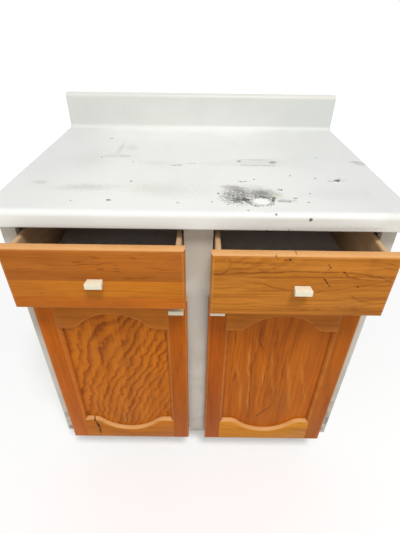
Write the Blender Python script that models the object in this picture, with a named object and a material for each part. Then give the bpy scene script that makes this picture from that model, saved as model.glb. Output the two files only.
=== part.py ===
"""A face-framed kitchen base cabinet: two drawers over two doors, under a post-formed countertop.

Metres, +Z up. The front faces -Y and X runs across. Shapes are drawn with y = 0 on the front of the face
frame. One empty then moves the whole cabinet, so that the origin is on the floor at the middle of its box.
"""

import math

import bmesh
import bpy
from mathutils import Vector

# Clearance between pieces that touch on the real cabinet
SEAT = 0.0003

# Countertop
COUNTER_HEIGHT = 0.9144
COUNTER_SIDE_OVERHANG = 0.0161
DECK_THICKNESS = 0.019
NOSE_OVERHANG = 0.0255
NOSE_HEIGHT = 0.0381
NOSE_DEPTH = 0.0381
NOSE_TOP_RADIUS = 0.011
NOSE_BOTTOM_RADIUS = 0.004
SPLASH_HEIGHT = 0.106
SPLASH_THICKNESS = 0.0191
SPLASH_TOP_RADIUS = 0.014
SPLASH_REAR_RADIUS = 0.003
COVE_RADIUS = 0.012
WALL_OVERHANG = 0.0127
CAP_THICKNESS = 0.001
BATTEN_WIDTH = 0.0381

# Carcass
CABINET_WIDTH = 0.8382
CABINET_DEPTH = 0.6096
SIDE_THICKNESS = 0.0127
BOTTOM_THICKNESS = 0.0159
BACK_THICKNESS = 0.0048
DADO_DEPTH = 0.005
TOE_HEIGHT = 0.108
TOE_DEPTH = 0.0762
TOE_BOARD_THICKNESS = 0.0127
STRETCHER_DEPTH = 0.076
STRETCHER_THICKNESS = 0.019
NAILER_HEIGHT = 0.089
NAILER_THICKNESS = 0.019
SHELF_THICKNESS = 0.0159
SHELF_DEPTH = 0.3
SHELF_ABOVE_BOTTOM = 0.254

# Face frame
FRAME_THICKNESS = 0.019
OUTER_STILE_WIDTH = 0.03175
CENTRE_STILE_WIDTH = 0.0635
MID_RAIL_HEIGHT = 0.0381
BOTTOM_RAIL_HEIGHT = 0.019
DRAWER_OPENING_HEIGHT = 0.160

# How far drawer fronts and doors lap over the frame round their openings
OVERLAY = 0.00635
DOOR_BELOW_FRAME = 0.003

# Drawers: how far each is pulled out at rest, and its box
LEFT_DRAWER_OUT = 0.062
RIGHT_DRAWER_OUT = 0.075
DRAWER_CLOSED_GAP = 0.001
FRONT_THICKNESS = 0.019
FRONT_HEIGHT = 0.154
FRONT_ROUNDOVER = 0.0075
FRONT_PAST_BOX = 0.0095
BOX_LENGTH = 0.508
BOX_SIDE_HEIGHT = 0.1335
BOX_SIDE_THICKNESS = 0.012
BOX_SIDE_TOP_RADIUS = 0.0045
BOX_BACK_DROP = 0.006
BOX_BOTTOM_THICKNESS = 0.0048
BOX_BOTTOM_ABOVE_EDGE = 0.0095
BOX_GROOVE_DEPTH = 0.006

# Drawer track and guide
TRACK_WIDTH = 0.018
TRACK_HEIGHT = 0.009
TRACK_FLANGE = 0.005
TRACK_METAL = 0.0012
TRACK_TAB_DROP = 0.018
TRACK_BELOW_BOTTOM = 0.0025
GUIDE_SIDE_PLAY = 0.0005
GUIDE_WALL = 0.006
GUIDE_LENGTH = 0.02
GUIDE_HEIGHT = 0.026

# Doors: frame-and-panel, with a routed inner edge and curved rails
DOOR_THICKNESS = 0.019
DOOR_EDGE_RADIUS = 0.005
STILE_FACE_WIDTH = 0.045
STICKING_WIDTH = 0.0085
STICKING_DEPTH = 0.0115
STICKING_STEPS = 5
PANEL_THICKNESS = 0.0045
PANEL_GROOVE_DEPTH = 0.0095
PANEL_FLOAT = 0.001
RAIL_SHOULDER_HEIGHT = 0.0985
RAIL_MIDDLE_HEIGHT = 0.0485
RAIL_SHOULDER_FLAT = 0.01865
RAIL_SHOULDER_RADIUS = 0.0404
HOLLOW_STEPS = 24
SHOULDER_STEPS = 8

# Block knobs
KNOB_BACK_SIZE = (0.032, 0.0105)
KNOB_FRONT_SIZE = (0.036, 0.013)
KNOB_DEPTH = 0.0205
KNOB_EDGE = 0.0014
LEFT_DOOR_KNOB_FROM_SIDE = 0.0254
RIGHT_DOOR_KNOB_FROM_SIDE = 0.021
DOOR_KNOB_FROM_TOP = 0.0195

# Wrap-round door hinges
HINGE_HEIGHT = 0.084
HINGE_INSET = 0.0225
HINGE_METAL = 0.0012
HINGE_WRAP = 0.016
HINGE_DOOR_LEAF_WIDTH = 0.034
KNUCKLE_RADIUS = 0.003
MIDDLE_KNUCKLE = 0.042
PIN_RADIUS = 0.0014
PIN_TIP_RADIUS = 0.0026
PIN_TIP_HEIGHT = 0.004
ROUND_STEPS = 16

# Worked out from the sizes above
CABINET_TOP = COUNTER_HEIGHT - NOSE_HEIGHT - SEAT
NOSE_FRONT = -NOSE_OVERHANG
NOSE_REAR = NOSE_FRONT + NOSE_DEPTH
SPLASH_REAR = CABINET_DEPTH + WALL_OVERHANG
SPLASH_FACE = SPLASH_REAR - SPLASH_THICKNESS
DECK_UNDERSIDE = COUNTER_HEIGHT - DECK_THICKNESS
HALF_WIDTH = CABINET_WIDTH / 2
COUNTER_HALF = HALF_WIDTH + COUNTER_SIDE_OVERHANG
CORE_HALF = COUNTER_HALF - CAP_THICKNESS - SEAT
SIDE_INNER = HALF_WIDTH - SIDE_THICKNESS
CARCASS_FRONT = FRAME_THICKNESS + SEAT
BACK_FRONT = CABINET_DEPTH - BACK_THICKNESS
BOTTOM_TOP = TOE_HEIGHT + BOTTOM_RAIL_HEIGHT
STILE_INNER = HALF_WIDTH - OUTER_STILE_WIDTH
OPENING_WIDTH = STILE_INNER - CENTRE_STILE_WIDTH / 2
OPENING_CENTRE = (STILE_INNER + CENTRE_STILE_WIDTH / 2) / 2
MID_RAIL_TOP = CABINET_TOP - DRAWER_OPENING_HEIGHT
MID_RAIL_BOTTOM = MID_RAIL_TOP - MID_RAIL_HEIGHT
LEAF_WIDTH = OPENING_WIDTH + 2 * OVERLAY
DRAWER_FRONT_BOTTOM = MID_RAIL_TOP - OVERLAY
BOX_EDGE = MID_RAIL_TOP + SEAT
BOX_BOTTOM = BOX_EDGE + BOX_BOTTOM_ABOVE_EDGE
BOX_HALF = LEAF_WIDTH / 2 - FRONT_PAST_BOX
TRACK_TOP = BOX_BOTTOM - TRACK_BELOW_BOTTOM
TRACK_BASE = TRACK_TOP - TRACK_HEIGHT
DOOR_TOP = MID_RAIL_BOTTOM + OVERLAY
DOOR_BOTTOM = TOE_HEIGHT - DOOR_BELOW_FRAME
DOOR_GAP = 2 * HINGE_METAL + 3 * SEAT
DOOR_FACE = -(DOOR_GAP + DOOR_THICKNESS)
DOOR_OPENING_HALF = LEAF_WIDTH / 2 - STILE_FACE_WIDTH - STICKING_WIDTH
GROOVE_BACK = STICKING_DEPTH + PANEL_THICKNESS + 4 * SEAT
PIVOT_X = OPENING_CENTRE + LEAF_WIDTH / 2 + KNUCKLE_RADIUS + SEAT
PIVOT_Y = -(KNUCKLE_RADIUS + SEAT)

FOREMOST = -(max(LEFT_DRAWER_OUT, RIGHT_DRAWER_OUT) + DRAWER_CLOSED_GAP + FRONT_THICKNESS + SEAT + KNOB_DEPTH)
MIDDLE_Y = (FOREMOST + SPLASH_REAR) / 2


def clear_scene():
    for obj in list(bpy.data.objects):
        bpy.data.objects.remove(obj, do_unlink=True)


def make_material(name, colour, roughness, metallic=0.0):
    material = bpy.data.materials.new(name)
    material.use_nodes = True
    shader = material.node_tree.nodes["Principled BSDF"]
    shader.inputs["Base Color"].default_value = (*colour, 1.0)
    shader.inputs["Roughness"].default_value = roughness
    shader.inputs["Metallic"].default_value = metallic
    material.diffuse_color = (*colour, 1.0)
    return material


def make_empty(name, place, parent=None):
    """An empty that carries the pieces of one body. A moving body's empty is on its joint's axis."""
    empty = bpy.data.objects.new(name, None)
    empty.empty_display_size = 0.05
    empty.location = place
    empty.parent = parent
    bpy.context.collection.objects.link(empty)
    return empty


def add_piece(name, bm, material, carrier):
    """Links one solid, with its own origin at the middle of its box, under the empty that carries it."""
    low = Vector([min(v.co[i] for v in bm.verts) for i in range(3)])
    high = Vector([max(v.co[i] for v in bm.verts) for i in range(3)])
    middle = (low + high) / 2
    bmesh.ops.translate(bm, vec=-middle, verts=bm.verts)
    bmesh.ops.recalc_face_normals(bm, faces=bm.faces)
    mesh = bpy.data.meshes.new(name)
    bm.to_mesh(mesh)
    bm.free()
    mesh.shade_smooth()
    mesh.set_sharp_from_angle(angle=math.radians(35))
    mesh.materials.append(material)
    obj = bpy.data.objects.new(name, mesh)
    obj.parent = carrier
    # The root empty holds the drawing's own zero, and every other empty lies under it.
    obj.location = middle - (carrier.location if carrier.parent else Vector())
    bpy.context.collection.objects.link(obj)
    return obj


def shape_with(obj, operation, label, bm):
    """Cuts or joins a helper shape with a Boolean that stays on the piece."""
    tool = add_piece(f"{obj.name}_{label}", bm, obj.data.materials[0], obj.parent)
    tool.hide_render = True
    tool.display_type = "WIRE"
    modifier = obj.modifiers.new(label, "BOOLEAN")
    modifier.operation = operation
    modifier.object = tool
    modifier.solver = "EXACT"
    return obj


def add_box(bm, x, y, z):
    """Adds a box between the two limits given for each axis, and returns its vertices."""
    made = bmesh.ops.create_cube(bm, size=1.0)["verts"]
    for vertex in made:
        vertex.co = [pair[0] if vertex.co[i] < 0 else pair[1] for i, pair in enumerate((x, y, z))]
    return made


def box(x, y, z):
    bm = bmesh.new()
    add_box(bm, x, y, z)
    return bm


def boxes(*limits):
    bm = bmesh.new()
    for x, y, z in limits:
        add_box(bm, x, y, z)
    return bm


def add_cylinder(bm, x, y, z, radius):
    """Adds an upright cylinder between two heights."""
    made = bmesh.ops.create_cone(
        bm, cap_ends=True, segments=ROUND_STEPS, radius1=radius, radius2=radius, depth=z[1] - z[0]
    )["verts"]
    bmesh.ops.translate(bm, vec=(x, y, (z[0] + z[1]) / 2), verts=made)


def cylinders(x, y, radius, *heights):
    bm = bmesh.new()
    for z in heights:
        add_cylinder(bm, x, y, z, radius)
    return bm


def arc(centre, radius, start, end, steps):
    """Points on an arc, from one angle in degrees to another."""
    angles = [math.radians(start + (end - start) * i / steps) for i in range(steps + 1)]
    return [(centre[0] + radius * math.cos(a), centre[1] + radius * math.sin(a)) for a in angles]


def prism(outline, axis, start, end):
    """Extrudes an outline along X, Y or Z. Its points hold the other two coordinates, in X, Y, Z order."""
    bm = bmesh.new()
    verts = []
    for point in outline:
        place = list(point)
        place.insert(axis, start)
        verts.append(bm.verts.new(place))
    face = bm.faces.new(verts)
    grown = bmesh.ops.extrude_face_region(bm, geom=[face])["geom"]
    shift = [0.0, 0.0, 0.0]
    shift[axis] = end - start
    bmesh.ops.translate(bm, vec=shift, verts=[v for v in grown if isinstance(v, bmesh.types.BMVert)])
    return bm


def mirrored(side, low, high):
    """Limits across X on the side that the sign names, from distances out from the middle."""
    return (low, high) if side > 0 else (-high, -low)


def rounded_corner(corner, inwards, radius, start, end, steps):
    """The arc that rounds a square corner. Inwards holds the signs of the way to its centre."""
    centre = (corner[0] + inwards[0] * radius, corner[1] + inwards[1] * radius)
    return arc(centre, radius, start, end, steps)


def countertop_profile(hollow):
    """The post-formed section, as (y, z). Hollow leaves the space under the thin deck behind the nose."""
    top, bottom = COUNTER_HEIGHT, COUNTER_HEIGHT - NOSE_HEIGHT
    splash_top = top + SPLASH_HEIGHT
    points = rounded_corner((NOSE_FRONT, bottom), (1, 1), NOSE_BOTTOM_RADIUS, 270, 180, 3)
    points += rounded_corner((NOSE_FRONT, top), (1, -1), NOSE_TOP_RADIUS, 180, 90, 6)
    points += rounded_corner((SPLASH_FACE, top), (-1, 1), COVE_RADIUS, 270, 360, 6)
    points += rounded_corner((SPLASH_FACE, splash_top), (1, -1), SPLASH_TOP_RADIUS, 180, 90, 6)
    points += rounded_corner((SPLASH_REAR, splash_top), (-1, -1), SPLASH_REAR_RADIUS, 90, 0, 2)
    if hollow:
        points += [(SPLASH_REAR, DECK_UNDERSIDE), (NOSE_REAR, DECK_UNDERSIDE), (NOSE_REAR, bottom)]
    else:
        points += [(SPLASH_REAR, bottom)]
    return points


def build_countertop(carrier, laminate, chipboard):
    add_piece("countertop", prism(countertop_profile(True), 0, -CORE_HALF, CORE_HALF), laminate, carrier)
    heights = (CABINET_TOP + SEAT, DECK_UNDERSIDE - SEAT)
    inner = CORE_HALF - BATTEN_WIDTH
    for side, word in ((-1, "left"), (1, "right")):
        x = mirrored(side, CORE_HALF + SEAT, COUNTER_HALF)
        add_piece(f"{word}_end_cap", prism(countertop_profile(False), 0, *x), laminate, carrier)
        batten = box(mirrored(side, inner, CORE_HALF), (NOSE_REAR + SEAT, SPLASH_REAR), heights)
        add_piece(f"{word}_batten", batten, chipboard, carrier)
    across = (-(inner - SEAT), inner - SEAT)
    rear = box(across, (CABINET_DEPTH - BATTEN_WIDTH, CABINET_DEPTH), heights)
    add_piece("rear_batten", rear, chipboard, carrier)


def build_side_panel(side, word, carrier, melamine):
    """A side with its toe notch, dadoes for the bottom and the shelf, and a rabbet for the back."""
    outline = [
        (TOE_DEPTH, 0.0),
        (CABINET_DEPTH, 0.0),
        (CABINET_DEPTH, CABINET_TOP),
        (CARCASS_FRONT, CABINET_TOP),
        (CARCASS_FRONT, TOE_HEIGHT),
        (TOE_DEPTH, TOE_HEIGHT),
    ]
    board = prism(outline, 0, *mirrored(side, SIDE_INNER, HALF_WIDTH))
    panel = add_piece(f"{word}_side_panel", board, melamine, carrier)
    past = 0.01
    slot_x = mirrored(side, SIDE_INNER - past, SIDE_INNER + DADO_DEPTH)
    bottom_z = (BOTTOM_TOP - BOTTOM_THICKNESS - SEAT, BOTTOM_TOP + SEAT)
    bottom_y = (CARCASS_FRONT - past, CABINET_DEPTH + past)
    shape_with(panel, "DIFFERENCE", "bottom_dado", box(slot_x, bottom_y, bottom_z))
    shelf_top = BOTTOM_TOP + SHELF_ABOVE_BOTTOM
    shelf_z = (shelf_top - SHELF_THICKNESS - SEAT, shelf_top + SEAT)
    shelf_y = (BACK_FRONT - SHELF_DEPTH - 2 * SEAT, CABINET_DEPTH + past)
    shape_with(panel, "DIFFERENCE", "shelf_dado", box(slot_x, shelf_y, shelf_z))
    back_y = (BACK_FRONT - SEAT, CABINET_DEPTH + past)
    shape_with(panel, "DIFFERENCE", "back_rabbet", box(slot_x, back_y, (-past, CABINET_TOP + past)))


def build_carcass(carrier, melamine, hardboard, chipboard):
    for side, word in ((-1, "left"), (1, "right")):
        build_side_panel(side, word, carrier, melamine)
    let_in = SIDE_INNER + DADO_DEPTH - SEAT
    between = SIDE_INNER - SEAT
    inner_back = BACK_FRONT - SEAT
    bottom_z = (BOTTOM_TOP - BOTTOM_THICKNESS, BOTTOM_TOP)
    shelf_top = BOTTOM_TOP + SHELF_ABOVE_BOTTOM
    shelf_y = (inner_back - SHELF_DEPTH, inner_back)
    board_y = (TOE_DEPTH, TOE_DEPTH + TOE_BOARD_THICKNESS)
    stretcher_y = (CARCASS_FRONT, CARCASS_FRONT + STRETCHER_DEPTH)
    stretcher_z = (CABINET_TOP - STRETCHER_THICKNESS, CABINET_TOP)
    nailer_y = (inner_back - NAILER_THICKNESS, inner_back)
    pieces = (
        ("bottom_panel", melamine, let_in, (CARCASS_FRONT, inner_back), bottom_z),
        ("shelf", melamine, let_in, shelf_y, (shelf_top - SHELF_THICKNESS, shelf_top)),
        ("back_panel", hardboard, let_in, (BACK_FRONT, CABINET_DEPTH), (0.0, CABINET_TOP)),
        ("toe_kick_board", melamine, between, board_y, (0.0, bottom_z[0] - SEAT)),
        ("top_stretcher", chipboard, between, stretcher_y, stretcher_z),
        ("back_nailer", chipboard, between, nailer_y, (CABINET_TOP - NAILER_HEIGHT, CABINET_TOP)),
    )
    for name, material, half, y, z in pieces:
        add_piece(name, box((-half, half), y, z), material, carrier)


def build_face_frame(carrier, paint):
    thick = (0.0, FRAME_THICKNESS)
    half_centre = CENTRE_STILE_WIDTH / 2
    for side, word in ((-1, "left"), (1, "right")):
        stile = box(mirrored(side, STILE_INNER, HALF_WIDTH), thick, (TOE_HEIGHT, CABINET_TOP))
        add_piece(f"{word}_stile", stile, paint, carrier)
        rail_x = mirrored(side, half_centre + SEAT, STILE_INNER - SEAT)
        rail = box(rail_x, thick, (MID_RAIL_BOTTOM, MID_RAIL_TOP))
        add_piece(f"{word}_mid_rail", rail, paint, carrier)
    across = (-(STILE_INNER - SEAT), STILE_INNER - SEAT)
    add_piece("bottom_rail", box(across, thick, (TOE_HEIGHT, BOTTOM_TOP)), paint, carrier)
    centre = box((-half_centre, half_centre), thick, (BOTTOM_TOP + SEAT, CABINET_TOP))
    add_piece("centre_stile", centre, paint, carrier)


def build_track(side, word, carrier, steel):
    """A hat-section steel track from the mid rail to the back panel, with a bent tab at each end."""
    half, flange, metal = TRACK_WIDTH / 2, TRACK_FLANGE, TRACK_METAL
    right_half = [
        (half - metal, TRACK_TOP - metal),
        (half - metal, TRACK_BASE),
        (half + flange, TRACK_BASE),
        (half + flange, TRACK_BASE + metal),
        (half, TRACK_BASE + metal),
        (half, TRACK_TOP),
    ]
    left_half = [(-x, z) for x, z in reversed(right_half)]
    middle = side * OPENING_CENTRE
    outline = [(middle + x, z) for x, z in right_half + left_half]
    ends = (CARCASS_FRONT, BACK_FRONT - SEAT)
    track = add_piece(f"{word}_drawer_track", prism(outline, 1, *ends), steel, carrier)
    tab_x = (middle - half - flange, middle + half + flange)
    tab_z = (TRACK_BASE - TRACK_TAB_DROP, TRACK_BASE + metal / 2)
    tabs = boxes((tab_x, (ends[0], ends[0] + metal), tab_z), (tab_x, (ends[1] - metal, ends[1]), tab_z))
    shape_with(track, "UNION", "end_tabs", tabs)


def rounded_slab(x, y, z, radius):
    """A board whose front edges, at the lower y, are rounded over."""
    bm = box(x, y, z)
    front = [e for e in bm.edges if all(abs(v.co.y - y[0]) < SEAT for v in e.verts)]
    bmesh.ops.bevel(bm, geom=front, offset=radius, segments=6, profile=0.5, affect="EDGES")
    return bm


def block_knob(x, z, face):
    """A block that widens a little to its front, with eased edges. Face is the y of what carries it."""
    back, front = face - SEAT, face - SEAT - KNOB_DEPTH
    bm = bmesh.new()
    rings = []
    for y, (width, height) in ((back, KNOB_BACK_SIZE), (front, KNOB_FRONT_SIZE)):
        corners = ((-1, -1), (1, -1), (1, 1), (-1, 1))
        rings.append([bm.verts.new((x + i * width / 2, y, z + k * height / 2)) for i, k in corners])
    bm.faces.new(rings[0])
    bm.faces.new(rings[1][::-1])
    for i in range(4):
        j = (i + 1) % 4
        bm.faces.new((rings[0][i], rings[1][i], rings[1][j], rings[0][j]))
    eased = [e for e in bm.edges if any(abs(v.co.y - front) < SEAT for v in e.verts)]
    bmesh.ops.bevel(bm, geom=eased, offset=KNOB_EDGE, segments=3, profile=0.5, affect="EDGES")
    return bm


def box_side_outline(side):
    """A drawer side's section as (x, z): eased top corners, and the bottom's groove on its inner face."""
    outer, inner = BOX_HALF, BOX_HALF - BOX_SIDE_THICKNESS
    groove = inner + BOX_GROOVE_DEPTH
    low, high = BOX_BOTTOM - SEAT, BOX_BOTTOM + BOX_BOTTOM_THICKNESS + SEAT
    top = BOX_EDGE + BOX_SIDE_HEIGHT
    points = [(outer, BOX_EDGE)]
    points += rounded_corner((outer, top), (-1, -1), BOX_SIDE_TOP_RADIUS, 0, 90, 4)
    points += rounded_corner((inner, top), (1, -1), BOX_SIDE_TOP_RADIUS, 90, 180, 4)
    points += [
        (inner, high),
        (groove, high),
        (groove, low),
        (inner, low),
        (inner, BOX_EDGE),
    ]
    return [(side * x, z) for x, z in points]


def guide_outline():
    """The nylon guide's section as (x, z): a block with a slot that rides over the track."""
    slot = TRACK_WIDTH / 2 + GUIDE_SIDE_PLAY
    outer = slot + GUIDE_WALL
    foot = TRACK_BASE + TRACK_METAL + 2 * SEAT
    top = foot + GUIDE_HEIGHT
    ceiling = TRACK_TOP + SEAT
    right_half = [(slot, ceiling), (slot, foot), (outer, foot), (outer, top)]
    return right_half + [(-x, z) for x, z in reversed(right_half)]


def build_drawer(side, word, out, root, oak, birch, hardboard, nylon, cream):
    middle = side * OPENING_CENTRE
    front_back = -(out + DRAWER_CLOSED_GAP)
    front_face = front_back - FRONT_THICKNESS
    carrier = make_empty(f"{word}_drawer_slide", (middle, front_back, BOX_EDGE), root)
    half = LEAF_WIDTH / 2
    front_z = (DRAWER_FRONT_BOTTOM, DRAWER_FRONT_BOTTOM + FRONT_HEIGHT)
    front = rounded_slab((middle - half, middle + half), (front_face, front_back), front_z, FRONT_ROUNDOVER)
    add_piece(f"{word}_drawer_front", front, oak, carrier)
    box_y = (front_back + SEAT, front_back + SEAT + BOX_LENGTH)
    for hand, hand_word in ((-1, "left"), (1, "right")):
        outline = [(middle + x, z) for x, z in box_side_outline(hand)]
        add_piece(f"{word}_drawer_{hand_word}_side", prism(outline, 1, *box_y), birch, carrier)
    inner = BOX_HALF - BOX_SIDE_THICKNESS - SEAT
    back_y = (box_y[1] - BOX_SIDE_THICKNESS, box_y[1])
    floor_top = BOX_BOTTOM + BOX_BOTTOM_THICKNESS
    back_z = (floor_top + SEAT, BOX_EDGE + BOX_SIDE_HEIGHT - BOX_BACK_DROP)
    add_piece(f"{word}_drawer_back", box((middle - inner, middle + inner), back_y, back_z), birch, carrier)
    floor_half = inner + BOX_GROOVE_DEPTH
    floor = box((middle - floor_half, middle + floor_half), box_y, (BOX_BOTTOM, floor_top))
    add_piece(f"{word}_drawer_bottom", floor, hardboard, carrier)
    outline = [(middle + x, z) for x, z in guide_outline()]
    guide = prism(outline, 1, box_y[1] + SEAT, box_y[1] + SEAT + GUIDE_LENGTH)
    add_piece(f"{word}_drawer_guide", guide, nylon, carrier)
    add_piece(f"{word}_drawer_knob", block_knob(middle, sum(front_z) / 2, front_face), cream, carrier)


def edge_inset(depth):
    """How far the door's rounded outer edge lies back at this depth behind the face."""
    if depth >= DOOR_EDGE_RADIUS:
        return 0.0
    return DOOR_EDGE_RADIUS - math.sqrt(DOOR_EDGE_RADIUS**2 - (DOOR_EDGE_RADIUS - depth) ** 2)


def sticking(depth_at_panel):
    """The routed inner edge, as (depth behind the face, distance back from the inner line)."""
    turns = [math.radians(90 * k / STICKING_STEPS) for k in range(STICKING_STEPS + 1)]
    return [(depth_at_panel * (1 - math.cos(t)), STICKING_WIDTH * (1 - math.sin(t))) for t in turns]


class Station:
    """One section of a door member: its outer and inner points, with the ways that lead into the wood."""

    def __init__(self, outer, inner, outer_way, inner_way):
        self.outer, self.inner = Vector(outer), Vector(inner)
        self.outer_way, self.inner_way = Vector(outer_way), Vector(inner_way)


def moulded_member(stations, groove, end_shift):
    """Lofts a door stile or rail through its sections, with sticking and a panel groove on the inner edge.

    Stations hold (x, z) points. Groove is its front and back depth. End_shift tells how far an end section
    reaches past its station at a depth: back where the end is rounded, forward where it is coped.
    """
    front, back = groove
    profile = sticking(front)
    depths = [depth for depth, _ in profile] + [back, DOOR_THICKNESS]
    inner = [(DOOR_THICKNESS, 0.0), (back, 0.0), (back, PANEL_GROOVE_DEPTH), (front, PANEL_GROOVE_DEPTH)]
    inner += list(reversed(profile))
    along = (stations[-1].inner - stations[0].inner).normalized()
    bm = bmesh.new()
    rings = []
    for number, station in enumerate(stations):
        way = {0: -1, len(stations) - 1: 1}.get(number, 0)
        ring = []
        for depth in depths:
            flat = station.outer + station.outer_way * edge_inset(depth) + along * way * end_shift(depth)
            ring.append(bm.verts.new((flat.x, DOOR_FACE + depth, flat.y)))
        for depth, inset in inner:
            flat = station.inner + station.inner_way * inset + along * way * end_shift(depth)
            ring.append(bm.verts.new((flat.x, DOOR_FACE + depth, flat.y)))
        rings.append(ring)
    for first, second in zip(rings, rings[1:]):
        for i in range(len(first)):
            j = (i + 1) % len(first)
            bm.faces.new((first[i], first[j], second[j], second[i]))
    tongues = [close_end(bm, rings[0]), close_end(bm, rings[-1])]
    return bm, tongues, along


def close_end(bm, ring):
    """Closes an end in strips of even depth, and returns the strip between the two depths of the groove."""
    steps = STICKING_STEPS
    last = len(ring) - 1
    # Inner points at the face, the groove's front lip, the groove's bottom twice, and the back lip
    lip = last - steps
    bottom_front, bottom_back, back_lip, back = (lip - n for n in range(1, 5))
    for k in range(steps - 1):
        bm.faces.new((ring[k], ring[last - k], ring[last - k - 1], ring[k + 1]))
    bm.faces.new([ring[i] for i in (steps - 1, last - steps + 1, lip, bottom_front, steps)])
    tongue = bm.faces.new([ring[i] for i in (steps, bottom_front, bottom_back, steps + 1)])
    bm.faces.new([ring[i] for i in (steps + 1, bottom_back, back_lip, back, steps + 2)])
    return tongue


def rail_curve():
    """The rails' inner line as (x, height, way into the wood): shoulder, hollow, shoulder."""
    rise = RAIL_SHOULDER_HEIGHT - RAIL_MIDDLE_HEIGHT
    run = DOOR_OPENING_HALF - RAIL_SHOULDER_FLAT
    turn = 2 * math.atan2(rise, run)
    hollow_radius = run / math.sin(turn) - RAIL_SHOULDER_RADIUS
    right = [(DOOR_OPENING_HALF - SEAT, RAIL_SHOULDER_HEIGHT, (0.0, -1.0))]
    for k in range(SHOULDER_STEPS):
        a = turn * k / SHOULDER_STEPS
        x = run - RAIL_SHOULDER_RADIUS * math.sin(a)
        height = RAIL_SHOULDER_HEIGHT - RAIL_SHOULDER_RADIUS * (1 - math.cos(a))
        right.append((x, height, (math.sin(a), -math.cos(a))))
    for k in range(HOLLOW_STEPS // 2):
        a = turn * (1 - 2 * k / HOLLOW_STEPS)
        height = RAIL_MIDDLE_HEIGHT + hollow_radius * (1 - math.cos(a))
        right.append((hollow_radius * math.sin(a), height, (math.sin(a), -math.cos(a))))
    left = [(-x, height, (-way[0], way[1])) for x, height, way in right]
    return left + [(0.0, RAIL_MIDDLE_HEIGHT, (0.0, -1.0))] + right[::-1]


def door_rail(middle, edge, up):
    """A rail from the door's edge, with stub tenons and ends coped over the stiles' sticking."""
    stations = []
    for x, height, way in rail_curve():
        stations.append(
            Station((middle + x, edge), (middle + x, edge + up * height), (0.0, up), (way[0], up * way[1]))
        )
    front = STICKING_DEPTH + SEAT
    cope = dict(sticking(front))
    bm, tongues, along = moulded_member(
        stations, (front, GROOVE_BACK - SEAT), lambda depth: cope.get(depth, 0.0)
    )
    reach = PANEL_GROOVE_DEPTH - SEAT
    for tongue, way in zip(tongues, (-1, 1)):
        grown = bmesh.ops.extrude_discrete_faces(bm, faces=[tongue])["faces"]
        bmesh.ops.translate(bm, vec=(way * along.x * reach, 0.0, 0.0), verts=list(grown[0].verts))
    return bm


def door_stile(outer, way):
    """A stile the height of the door. Way is the sign across X that leads from its outer edge inwards."""
    inner = outer + way * (STILE_FACE_WIDTH + STICKING_WIDTH)
    stations = [Station((outer, z), (inner, z), (way, 0.0), (-way, 0.0)) for z in (DOOR_BOTTOM, DOOR_TOP)]
    bm, _, _ = moulded_member(stations, (STICKING_DEPTH, GROOVE_BACK), lambda depth: -edge_inset(depth))
    return bm


def door_panel(middle):
    """The flat panel, whose edges follow the rails' curve inside their grooves."""
    reach = PANEL_GROOVE_DEPTH - PANEL_FLOAT
    curve = [(x + way[0] * reach, height + way[1] * reach) for x, height, way in rail_curve()]
    half = DOOR_OPENING_HALF + reach
    curve[0] = (-half, curve[0][1])
    curve[-1] = (half, curve[-1][1])
    outline = [(middle + x, DOOR_BOTTOM + height) for x, height in curve]
    outline += [(middle + x, DOOR_TOP - height) for x, height in reversed(curve)]
    front = DOOR_FACE + STICKING_DEPTH + 2 * SEAT
    return prism(outline, 1, front, front + PANEL_THICKNESS)


def build_door(side, word, root, oak, panel_oak, cream, bronze):
    middle = side * OPENING_CENTRE
    half = LEAF_WIDTH / 2
    hinge_edge, lock_edge = middle + side * half, middle - side * half
    carrier = make_empty(f"{word}_door_pivot", (side * PIVOT_X, PIVOT_Y, DOOR_BOTTOM), root)
    add_piece(f"{word}_door_hinge_stile", door_stile(hinge_edge, -side), oak, carrier)
    add_piece(f"{word}_door_lock_stile", door_stile(lock_edge, side), oak, carrier)
    add_piece(f"{word}_door_bottom_rail", door_rail(middle, DOOR_BOTTOM, 1), oak, carrier)
    add_piece(f"{word}_door_top_rail", door_rail(middle, DOOR_TOP, -1), oak, carrier)
    add_piece(f"{word}_door_panel", door_panel(middle), panel_oak, carrier)
    knob_x = lock_edge + side * (LEFT_DOOR_KNOB_FROM_SIDE if side < 0 else RIGHT_DOOR_KNOB_FROM_SIDE)
    add_piece(f"{word}_door_knob", block_knob(knob_x, DOOR_TOP - DOOR_KNOB_FROM_TOP, DOOR_FACE), cream, carrier)
    upper = DOOR_TOP - HINGE_INSET - HINGE_HEIGHT / 2
    lower = DOOR_BOTTOM + HINGE_INSET + HINGE_HEIGHT / 2
    for level, height in (("upper", upper), ("lower", lower)):
        build_hinge(side, f"{word}_door_{level}_hinge", height, root, carrier, bronze)


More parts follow.
